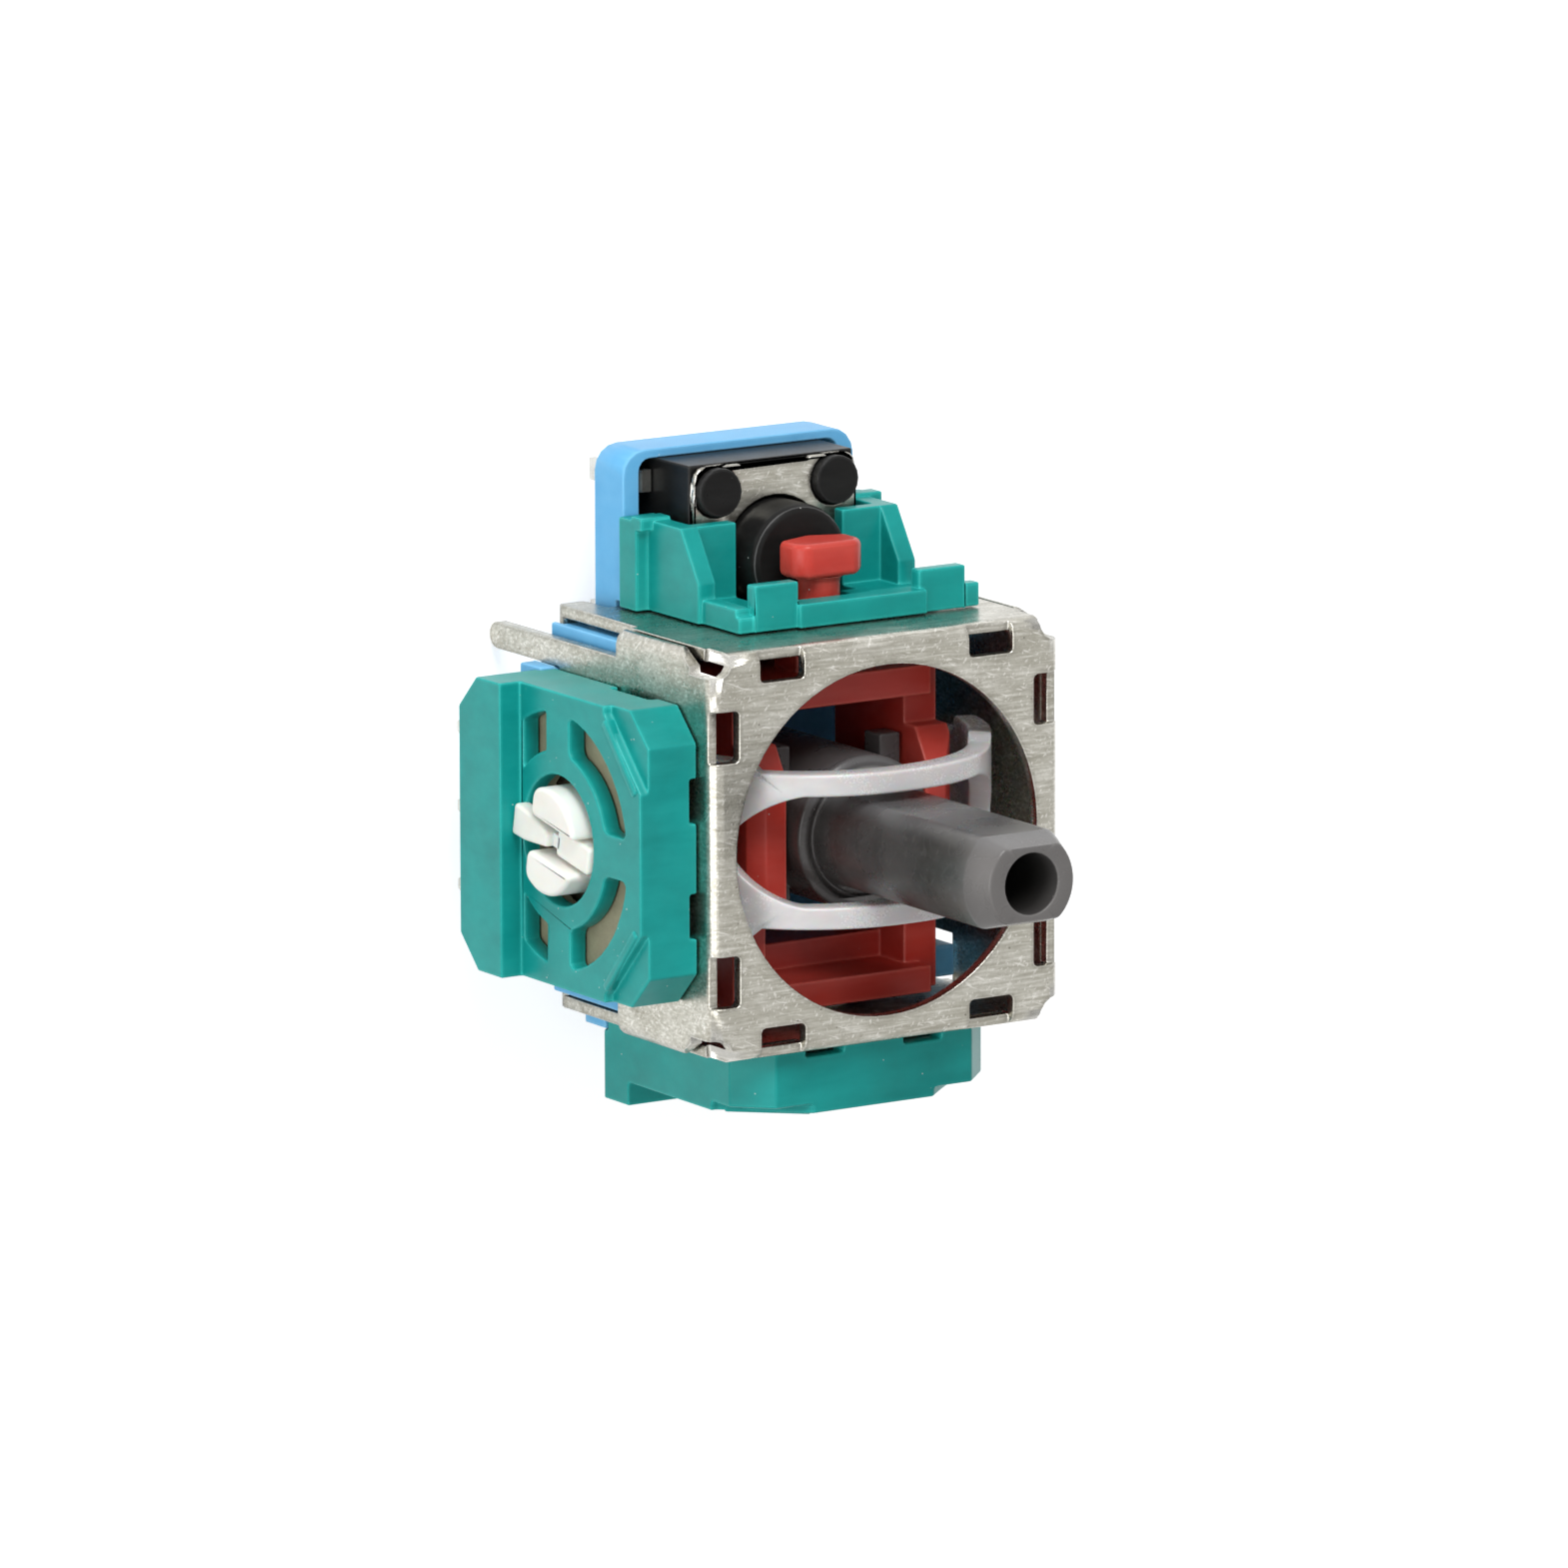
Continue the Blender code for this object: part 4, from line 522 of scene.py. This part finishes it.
def softened(points, reach, count=120):
    """A closed loop with soft corners: evenly spaced points, each moved to the mean of those
    within reach of it along the loop."""
    loop = evenly(np.vstack([points, points[:1]]), count + 1)
    step = np.linalg.norm(loop[1] - loop[0])
    span = max(1, round(reach / step))
    return np.mean([np.roll(loop[:-1], shift, axis=0) for shift in range(-span, span + 1)], axis=0)


def box_loop(low, high, radius):
    """A rectangle's loop with rounded corners, counter-clockwise."""
    (a0, b0), (a1, b1) = low, high
    return fillet([(a0, b0), (a1, b0), (a1, b1), (a0, b1)], radius, closed=True)


def turned(profile, steps):
    """A profile of (radius, height) turned round the height: x = r cos a, y = r sin a, z = h."""
    angle = np.linspace(0.0, 2 * np.pi, steps, endpoint=False)[None]
    radius, height = np.asarray(profile, float).T[:, :, None]
    return np.stack([radius * np.cos(angle), radius * np.sin(angle), height + 0 * angle], axis=-1)


def pillar(loop, low, high, edge, steps=3):
    """A closed counter-clockwise loop carried from low to high, with rims rounded by a quarter
    circle: each row is the loop moved in along its normals by edge (1 - sin t)."""
    loop = np.asarray(loop, float)
    ahead = np.roll(loop, -1, axis=0) - np.roll(loop, 1, axis=0)
    ahead /= np.linalg.norm(ahead, axis=1)[:, None]
    normal = np.stack([ahead[:, 1], -ahead[:, 0]], axis=-1)
    turn = np.linspace(0.0, np.pi / 2, steps + 1)
    inset = edge * (1 - np.sin(turn))
    rise = edge * (1 - np.cos(turn))
    inset = np.concatenate([inset, inset[::-1]])[:, None, None]
    height = np.concatenate([low + rise, high - rise[::-1]])[:, None, None]
    flat = loop[None] - inset * normal[None]
    return np.concatenate([flat, height + 0 * flat[:, :, :1]], axis=-1)


# Where a grid's own axes lie in the model: across, up, out and the origin
UPRIGHT_X = ((0, 1, 0), (0, 0, 1), (1, 0, 0), (0.0, 0.0, 0.0))
ALONG_X = ((0, 1, 0), (0, 0, 1), (1, 0, 0), (0.0, 0.0, PIVOT))
SENSOR_AXES = {
    "pot_x": ((0, -1, 0), (0, 0, 1), (-1, 0, 0), (0.0, 0.0, PIVOT)),
    "pot_y": ((1, 0, 0), (0, 0, 1), (0, -1, 0), (0.0, 0.0, PIVOT)),
}


def placed(grid, across, up, out, origin):
    """A grid of (across, up, out) turned into the model's own axes."""
    return grid @ np.array([across, up, out], float) + np.array(origin, float)


class Form:
    """A piece's skins, each a grid of points in millimetres, gathered into one mesh."""

    def __init__(self):
        self.points = []
        self.faces = []
        self.count = 0

    def skin(self, grid, wrap=(False, True), caps=False):
        """Cover a grid with quads; either way may close on itself, and caps close the end rows."""
        rows, cols = grid.shape[:2]
        shape = np.arange(rows - (not wrap[0])), np.arange(cols - (not wrap[1]))
        row, col = np.meshgrid(*shape, indexing="ij")
        next_row, next_col = (row + 1) % rows, (col + 1) % cols
        corners = (row * cols + col, next_row * cols + col, next_row * cols + next_col, row * cols + next_col)
        self.faces += (np.stack(corners, axis=-1).reshape(-1, 4) + self.count).tolist()
        if caps:
            for start in (0, (rows - 1) * cols):
                self.faces.append(list(range(self.count + start, self.count + start + cols)))
        self.points.append(grid.reshape(-1, 3))
        self.count += rows * cols
        return self

    def block(self, loop, low, high, edge, axes=None, steps=3):
        """A pillar with its ends closed, where the axes put it."""
        grid = pillar(loop, low, high, edge, steps)
        return self.skin(placed(grid, *axes) if axes else grid, caps=True)

    def rod(self, axes, radius, low, high, steps):
        """A round rod with rounded rims, along the axes' outward way."""
        profile = fillet([(0.0, low), (radius, low), (radius, high), (0.0, high)], 0.08, 3)
        return self.skin(placed(turned(profile, steps), *axes))

    def piece(self, name):
        """One object: its poles closed and every skin facing outwards."""
        mesh = bpy.data.meshes.new(name)
        mesh.from_pydata((np.vstack(self.points) * MM).tolist(), [], self.faces)
        bm = bmesh.new()
        bm.from_mesh(mesh)
        bmesh.ops.remove_doubles(bm, verts=bm.verts, dist=0.0004 * MM)
        bmesh.ops.recalc_face_normals(bm, faces=bm.faces)
        bm.to_mesh(mesh)
        bm.free()
        return link(name, mesh)


def merged(node):
    """A CAD node's mesh, copied, with its loose triangles joined."""
    bm = bmesh.new()
    bm.from_mesh(NODES[node].data)
    bmesh.ops.remove_doubles(bm, verts=bm.verts, dist=0.002 * MM)
    return bm


def body_piece(bm, node):
    mesh = bpy.data.meshes.new(node + "_body")
    bm.to_mesh(mesh)
    bm.free()
    return link(node + "_body", mesh)


def copied(node):
    """A copy of a CAD node with its triangles merged into whole flat faces."""
    bm = merged(node)
    bmesh.ops.dissolve_limit(bm, angle_limit=math.radians(1.0), verts=bm.verts, edges=bm.edges)
    return body_piece(bm, node)


def carve(obj, forms):
    """Cut tools made here from a copy; the tools then go."""
    for form in forms:
        tool = form.piece("tool")
        step = obj.modifiers.new("carve", "BOOLEAN")
        step.operation = "DIFFERENCE"
        step.solver = "EXACT"
        step.object = tool
        settle(obj)
        bpy.data.objects.remove(tool)


def rounded_edges(obj, width, segments=2, leave=None, bold=None):
    """Round the edges of over 28 degrees. leave(middle) keeps an edge sharp; bold is (test, width)
    for the edges that get a wide rounding of their own first, where test(middle, way) is true."""
    bm = bmesh.new()
    bm.from_mesh(obj.data)

    def is_sharp(edge):
        return len(edge.link_faces) == 2 and edge.calc_face_angle(0.0) > math.radians(28.0)

    def middle(edge):
        return (edge.verts[0].co + edge.verts[1].co) / (2 * MM)

    def way(edge):
        return (edge.verts[1].co - edge.verts[0].co).normalized()

    if bold:
        test, wide = bold
        chosen = [edge for edge in bm.edges if is_sharp(edge) and test(middle(edge), way(edge))]
        shape = {"segments": 4, "profile": 0.5, "clamp_overlap": True}
        bmesh.ops.bevel(bm, geom=chosen, offset=wide * MM, affect="EDGES", **shape)
    weight = bm.edges.layers.float.new("bevel_weight_edge")
    for edge in bm.edges:
        kept = leave is not None and leave(middle(edge))
        edge[weight] = 1.0 if is_sharp(edge) and not kept else 0.0
    bm.to_mesh(obj.data)
    bm.free()
    bevel = obj.modifiers.new("round", "BEVEL")
    bevel.width = width * MM
    bevel.segments = segments
    bevel.limit_method = "WEIGHT"
    bevel.use_clamp_overlap = False
    bevel.loop_slide = True
    bevel.miter_outer = "MITER_ARC"
    settle(obj)
    return obj


# Pieces
def build_frame():
    """The folded frame, with a slanted relief in the side walls at each upper corner."""
    folded = copied("steel_frame")
    beyond, relief_low = FRAME_HALF + 0.8, CEILING - 3.1
    top_end, slant_end = FRAME_HALF - 0.58, (FRAME_HALF - 0.74, CEILING - 0.5)
    slant = [(beyond, relief_low), (beyond, CEILING), (top_end, CEILING), slant_end]
    wall_in, wall_out = FRAME_HALF - 0.45, FRAME_HALF + 0.5
    reliefs = []
    for x in (-1, 1):
        low, high = sorted((x * wall_in, x * wall_out))
        for y in (-1, 1):
            loop = fillet([(y * a, b) for a, b in slant][::y], 0.34, closed=True)
            reliefs.append(Form().block(loop, low, high, 0.0, UPRIGHT_X))
    carve(folded, reliefs)

    def at_corner(middle):
        return min(abs(middle.x), abs(middle.y)) > FRAME_HALF - 1.1 and middle.z > FRAME_TOP - 3.2

    dress(rounded_edges(folded, 0.045, leave=at_corner), "steel_frame")


def build_lever():
    """Hub with a ring step, and a shaft whose sides are cut flat: y = (r sin a) held at the flat
    by a soft minimum, (|y|^-p + flat^-p)^(-1/p)."""
    hub, hub_low, shaft, rim = 2.45, PIVOT - 1.7, 1.88, TIP - 0.9
    ring_out, ring_in, groove = 2.12, 2.02, HUB_TOP - 0.16
    socket, socket_end, bore, bore_end = 1.3, 7.0, 0.95, TIP - 3.0
    tip_radius, tip_flat, uncut = 1.52, 1.16, 9.0
    rows = [(0.0, socket_end), (socket, socket_end), (socket, hub_low), (hub, hub_low)]
    rows += [(hub, HUB_TOP - 0.12), (hub - 0.18, HUB_TOP), (ring_out, HUB_TOP), (ring_in, groove)]
    rows += [(shaft, groove), (shaft, HUB_TOP + 0.05), (shaft, HUB_TOP + 0.25), (shaft, rim)]
    rows += [(tip_radius, TIP), (bore, TIP), (bore, bore_end), (0.0, bore_end)]
    profile = fillet(rows, 0.07, 3)
    radius, height = profile[:, 0], profile[:, 1]
    flat_heights = [HUB_TOP + 0.03, HUB_TOP + 0.2, rim, TIP]
    flat = np.interp(height, flat_heights, [1.95, LEVER_FLAT, LEVER_FLAT, tip_flat])
    flat = np.where((radius < bore + 0.15) | (height < HUB_TOP), uncut, flat)[:, None]
    grid = turned(profile, 96)
    side = np.maximum(np.abs(grid[:, :, 1]), 1e-6)
    sharpness = 36.0
    held = (side**-sharpness + flat**-sharpness) ** (-1 / sharpness)
    grid[:, :, 1] = np.sign(grid[:, :, 1]) * held
    form = Form().skin(grid)

    form.rod(ALONG_X, radius=0.8, low=-3.65, high=3.65, steps=40)
    ear_across, ear_deep, ear_low, ear_high = (1.65, 2.40), (0.9, 2.65), PIVOT + 1.7, PIVOT + 2.6
    for x in (-1, 1):
        for y in (-1, 1):
            a0, a1 = sorted(x * a for a in ear_across)
            b0, b1 = sorted(y * b for b in ear_deep)
            form.block(box_loop((a0, b0), (a1, b1), 0.08), ear_low, ear_high, 0.06)
    dress(form.piece("lever_body"), "lever")


class Arch:
    """The yoke's wall seen along Y: outer and inner arcs x = reach cos^p, z = rise sin^p, then
    straight legs. Its places are measured along the wall's middle from the crown."""

    def __init__(self, outer, inner, below, power):
        turn = np.linspace(np.pi / 2, 0.0, 240)
        cos, sin = np.cos(turn).clip(0.0) ** power, np.sin(turn).clip(0.0) ** power
        leg = np.linspace(0.0, -below, 30)[1:]
        self.outer = self.line(outer, cos, sin, leg)
        self.inner = self.line(inner, cos, sin, leg)
        self.middle = (self.outer + self.inner) / 2
        steps = np.linalg.norm(np.diff(self.middle, axis=0), axis=1)
        self.place = np.concatenate([[0.0], np.cumsum(steps)])
        self.end = self.place[-1]

    @staticmethod
    def line(size, cos, sin, leg):
        reach, rise = size
        arc = np.stack([reach * cos, rise * sin], axis=-1)
        return np.vstack([arc, np.stack([reach + 0 * leg, leg], axis=-1)])

    def at_x(self, x):
        return float(np.interp(x, self.middle[:, 0], self.place))

    def at_z(self, z):
        return float(np.interp(-z, -self.middle[:, 1], self.place))

    def point(self, place, y, share):
        """A point in the wall: share is 1 on its outside and 0 on its inside."""
        far = np.abs(place)
        x, z = (
            share * np.interp(far, self.place, self.outer[:, k])
            + (1 - share) * np.interp(far, self.place, self.inner[:, k])
            for k in (0, 1)
        )
        return np.stack([np.sign(place) * x, y, z + PIVOT], axis=-1)


def four_ways(quarter):
    """A quarter loop, from the crown's side to the middle of an end, mirrored into the whole."""
    half = np.vstack([quarter, (quarter * (1, -1))[::-1][1:]])
    return np.vstack([half[:-1], (half * (-1, 1))[::-1][:-1]])


def section(length, edge, thick):
    """Round a wall's section from the slot's edge out and back: how far along the line from slot
    to border each point lies, as a share, and its share of the thickness."""
    turn = np.linspace(0.0, np.pi / 2, 4)
    flat = np.linspace(0.0, 1.0, 11)[1:-1]
    one, none = np.ones_like(flat), np.zeros_like(flat)
    sides = [
        (0 * turn, 1 - np.cos(turn), 1 - np.sin(turn), 1),
        (flat, one, none, 1),
        (0 * turn + 1, 1 + np.sin(turn), 1 - np.cos(turn), 1),
        (0 * turn + 1, 1 + np.cos(turn), 1 - np.sin(turn), -1),
        (flat[::-1], one, none, -1),
        (0 * turn, 1 - np.sin(turn), 1 - np.cos(turn), -1),
    ]
    share = np.concatenate([side[0] for side in sides])
    inset = np.concatenate([side[1] for side in sides])
    drop = np.concatenate([side[3] * (1 - side[2] * edge / thick) for side in sides])
    along = (edge * inset + share * (length - 2 * edge)) / length
    return along, 0.5 + 0.5 * drop


def build_yoke():
    """The milky yoke: one skin that runs round the slot and round the wall's section. The slot's
    ends close in plan by |x|^n + |y|^n = 1, so both ends of the arch are solid plates."""
    arch = Arch(outer=(5.74, 6.8), inner=(5.14, 5.95), below=1.3, power=2 / 2.2)
    slot, crown_side, plate_side, leg_side = 1.73, 2.43, 2.77, 2.2
    narrows, closes = arch.at_x(3.0), arch.at_x(4.65)
    shoulder, waist = arch.at_z(4.4), arch.at_z(1.7)
    straight = np.linspace(0.0, narrows, 16)
    turn = np.linspace(0.0, np.pi / 2, 92)[1:]
    power = 2 / 1.5
    closing = [narrows + (closes - narrows) * np.sin(turn) ** power, slot * np.cos(turn).clip(0.0) ** power]
    inside = np.vstack([np.stack([straight, slot + 0 * straight], -1), np.stack(closing, -1)])
    rows = [(narrows, crown_side), (shoulder, crown_side), (shoulder, plate_side), (waist, plate_side)]
    rows += [(waist, leg_side), (arch.end, leg_side), (arch.end, 0.0)]
    border = evenly(fillet(rows, 0.28), 92)[1:]
    outside = np.vstack([np.stack([straight, crown_side + 0 * straight], -1), border])
    inside, outside = four_ways(inside), four_ways(outside)
    length = np.linalg.norm(outside - inside, axis=1)[:, None]
    along, share = section(length, edge=0.08, thick=0.34)
    place = inside[:, :1] + along * (outside - inside)[:, :1]
    y = inside[:, 1:] + along * (outside - inside)[:, 1:]
    form = Form().skin(arch.point(place, y, np.broadcast_to(share, y.shape)), wrap=(True, True))

    form.rod(ALONG_X, radius=1.2, low=5.5, high=6.8, steps=48)
    stub_half, stub_low, stub_high = 0.8, -7.54, -5.5
    stub = box_loop((-stub_half, -stub_half), (stub_half, stub_half), 0.10)
    form.block(stub, stub_low, stub_high, 0.10, ALONG_X)
    dress(form.piece("upper_arm_body"), "upper_arm")


def build_rotor_body(sensor):
    """The rotor's disc and journal: its node, cut off at the head and closed there."""
    node = sensor + "_rotor"
    out = Vector(SENSOR_AXES[sensor][2])
    bm = merged(node)
    everything = bm.verts[:] + bm.edges[:] + bm.faces[:]
    plane = {"plane_co": out * (HEAD_BASE * MM), "plane_no": out}
    cut = bmesh.ops.bisect_plane(bm, geom=everything, clear_outer=True, **plane)
    ring = [item for item in cut["geom_cut"] if isinstance(item, bmesh.types.BMEdge)]
    bmesh.ops.contextual_create(bm, geom=ring)
    dress(rounded_edges(body_piece(bm, node), SOFT_EDGE), node)


def build_rotor_head(sensor):
    """Two kidney prongs, each an arc x = r sin t, y = r cos t closed beside the slot and softened,
    with a key between them on one side and a flared tongue on a post on the other."""
    axes = SENSOR_AXES[sensor]
    gap, radius, low = 0.56, 1.7, -0.95
    turned_by = math.radians(-11.0)
    cos, sin = math.cos(turned_by), math.sin(turned_by)
    spin = np.array([(cos, sin), (-sin, cos)])
    foot, top = HEAD_BASE - 0.1, 9.0
    form = Form()
    for side in (-1, 1):
        turn = np.linspace(math.asin(gap / radius), math.acos(low / radius), 40)
        arc = np.stack([side * radius * np.sin(turn), radius * np.cos(turn)], axis=-1)
        prong = softened(np.vstack([arc, [(side * gap, low)]])[::-side], 0.26)
        form.block(prong @ spin, foot, top, 0.16, axes, steps=5)
    half, key_low, key_high = 0.44, 0.10, 1.95
    key = np.array([(-half, key_low), (half, key_low), (half, key_high), (-half, key_high)])
    form.block(softened(key, 0.14) @ spin, foot, top - 0.4, 0.10, axes)
    flare = [(-0.52, -2.12), (0.52, -2.12), (0.48, -1.35), (0.24, -0.1), (-0.24, -0.1), (-0.48, -1.35)]
    form.block(softened(np.array(flare), 0.16) @ spin, top - 0.7, top - 0.15, 0.12, axes)
    post = box_loop((-0.22, -1.3), (0.22, 0.3), 0.06)
    form.block(post @ spin, foot, top - 0.4, 0.05, axes)
    dress(form.piece(sensor + "_rotor_head"), sensor + "_rotor")


def build_diagonal_ribs(sensor):
    """The pale bars beside the recesses in a cover's upper corners."""
    upper_end, lower_end, half_width = (2.14, 4.52), (4.18, 2.72), 0.16
    low, high = 8.15, 8.56
    for side, name in ((-1, "left"), (1, "right")):
        start, end = np.array([upper_end, lower_end]) * (side, 1)
        way = (end - start) / np.linalg.norm(end - start)
        across = np.array([-way[1], way[0]]) * half_width
        loop = np.array([start - across, end - across, end + across, start + across])
        form = Form().block(fillet(loop, 0.12, closed=True), low, high, 0.08, SENSOR_AXES[sensor])
        dress(form.piece(f"{sensor}_rib_{name}"), sensor + "_cover")


def window_corner(sensor):
    """A test for the edges that stand outwards at the corners of a cover's upper windows."""
    across, up, out, _ = (Vector(axis) for axis in SENSOR_AXES[sensor])
    nearest, farthest, lowest, deepest = 2.2, 4.7, 0.2, 7.0

    def test(middle, way):
        height = middle.dot(up) - PIVOT
        reach = math.hypot(middle.dot(across), height)
        in_ring = nearest < reach < farthest and height > lowest
        return in_ring and abs(way.dot(out)) > 0.99 and middle.dot(out) > deepest

    return test


def near_tab(middle, way):
    """True on the cradle's tab, which reaches over the switch."""
    return middle.y > FRAME_HALF + 1.3


build_frame()
build_lever()
build_yoke()
for sensor in ("pot_x", "pot_y"):
    build_rotor_body(sensor)
    build_rotor_head(sensor)
    build_diagonal_ribs(sensor)
    cover = rounded_edges(copied(sensor + "_cover"), 0.07, bold=(window_corner(sensor), 0.24))
    dress(cover, sensor + "_cover")
roundings = {"base": 0.06, "switch_bracket": 0.06, "switch_body": SOFT_EDGE, "switch_plate": SOFT_EDGE}
for node, width in roundings.items():
    dress(rounded_edges(copied(node), width), node)
dress(rounded_edges(copied("switch_plunger"), 0.09, segments=3), "switch_plunger")
dress(rounded_edges(copied("lower_arm"), SOFT_EDGE, bold=(near_tab, 0.26)), "lower_arm")

for name, node in NODES.items():
    node.data.materials.clear()
    node.data.materials.append(MATERIALS[SLOT_OF[name]])


# Stage
AMBIENT = 0.34
FLOOR_GLOW = 0.62


def background_share(web):
    """One for rays that should see the plain white background."""
    path = web.add("LightPath")
    seen = web.plus(path.outputs["Is Camera Ray"], path.outputs["Is Glossy Ray"])
    return web.calc("ADD", seen, path.outputs["Is Transmission Ray"], clamp=True)


def build_world():
    world = bpy.data.worlds.new("studio")
    bpy.context.scene.world = world
    world.use_nodes = True
    web = Web(world.node_tree)
    sky = world.node_tree.nodes["Background"]
    sky.inputs["Color"].default_value = (1.0, 1.0, 1.0, 1.0)
    web.join(web.spread(background_share(web), 0.0, 1.0, AMBIENT, 1.0), sky.inputs["Strength"])


def build_floor():
    reach = 0.6
    z = (LOWEST - 0.01) * MM
    corners = [(-reach, -reach, z), (reach, -reach, z), (reach, reach, z), (-reach, reach, z)]
    mesh = bpy.data.meshes.new("floor")
    mesh.from_pydata(corners, [], [(0, 1, 2, 3)])
    floor = link("floor", mesh)
    material = bpy.data.materials.new("pale_floor")
    material.use_nodes = True
    web = Web(material.node_tree)
    shader = material.node_tree.nodes["Principled BSDF"].inputs
    shader["Base Color"].default_value = (0.80, 0.80, 0.80, 1.0)
    shader["Roughness"].default_value = 0.9
    shader["Specular IOR Level"].default_value = 0.0
    shader["Emission Color"].default_value = (1.0, 1.0, 1.0, 1.0)
    web.join(web.times(background_share(web), FLOOR_GLOW), shader["Emission Strength"])
    mesh.materials.append(material)


def lamp(name, direction, distance, size, power):
    """A square soft box that faces the module's middle."""
    middle = Vector((0.0, 0.5 * MM, 7.0 * MM))
    data = bpy.data.lights.new(name, "AREA")
    data.shape = "SQUARE"
    data.size = size
    data.energy = power
    obj = bpy.data.objects.new(name, data)
    bpy.context.scene.collection.objects.link(obj)
    way = Vector(direction).normalized()
    facing = way.to_track_quat("Z", "Y").to_matrix().to_4x4()
    obj.matrix_world = Matrix.Translation(middle + way * distance) @ facing


def build_camera():
    """The photograph's view: turned and raised round the stick's axis, with +Y upwards. The frame's
    top, on the stick's axis, falls on the picture's point (seen_x, seen_y)."""
    picture = 1569.0
    seen_x, seen_y = 888.71, 840.76
    turn, rise, roll = (math.radians(value) for value in (32.596, 11.255, -0.186))
    distance = 449.7
    pixels_per_mm = 32.5
    out = Vector((-math.sin(turn) * math.cos(rise), math.sin(rise), math.cos(turn) * math.cos(rise)))
    right = Vector((math.cos(turn), 0.0, math.sin(turn)))
    up = out.cross(right)
    right, up = (right * math.cos(roll) + up * math.sin(roll), up * math.cos(roll) - right * math.sin(roll))
    aside = (seen_x - picture / 2) / pixels_per_mm
    above = (picture / 2 - seen_y) / pixels_per_mm
    place = Vector((0.0, 0.0, FRAME_TOP)) - aside * right - above * up + distance * out
    data = bpy.data.cameras.new("camera")
    data.sensor_width = 36.0
    data.lens = data.sensor_width * pixels_per_mm * distance / picture
    data.clip_start = 0.01
    data.clip_end = 20.0
    camera = bpy.data.objects.new("camera", data)
    bpy.context.scene.collection.objects.link(camera)
    matrix = Matrix((right, up, out)).transposed().to_4x4()
    matrix.translation = place * MM
    camera.matrix_world = matrix
    bpy.context.scene.camera = camera


build_world()
build_floor()
build_camera()
lamp("key", (-0.25, 1.0, 0.75), distance=0.30, size=0.15, power=0.66)
lamp("side", (-1.0, 0.05, 0.45), distance=0.32, size=0.20, power=0.40)
lamp("front", (-0.45, -0.55, 1.0), distance=0.32, size=0.20, power=0.10)
bpy.context.scene.view_settings.view_transform = "Standard"
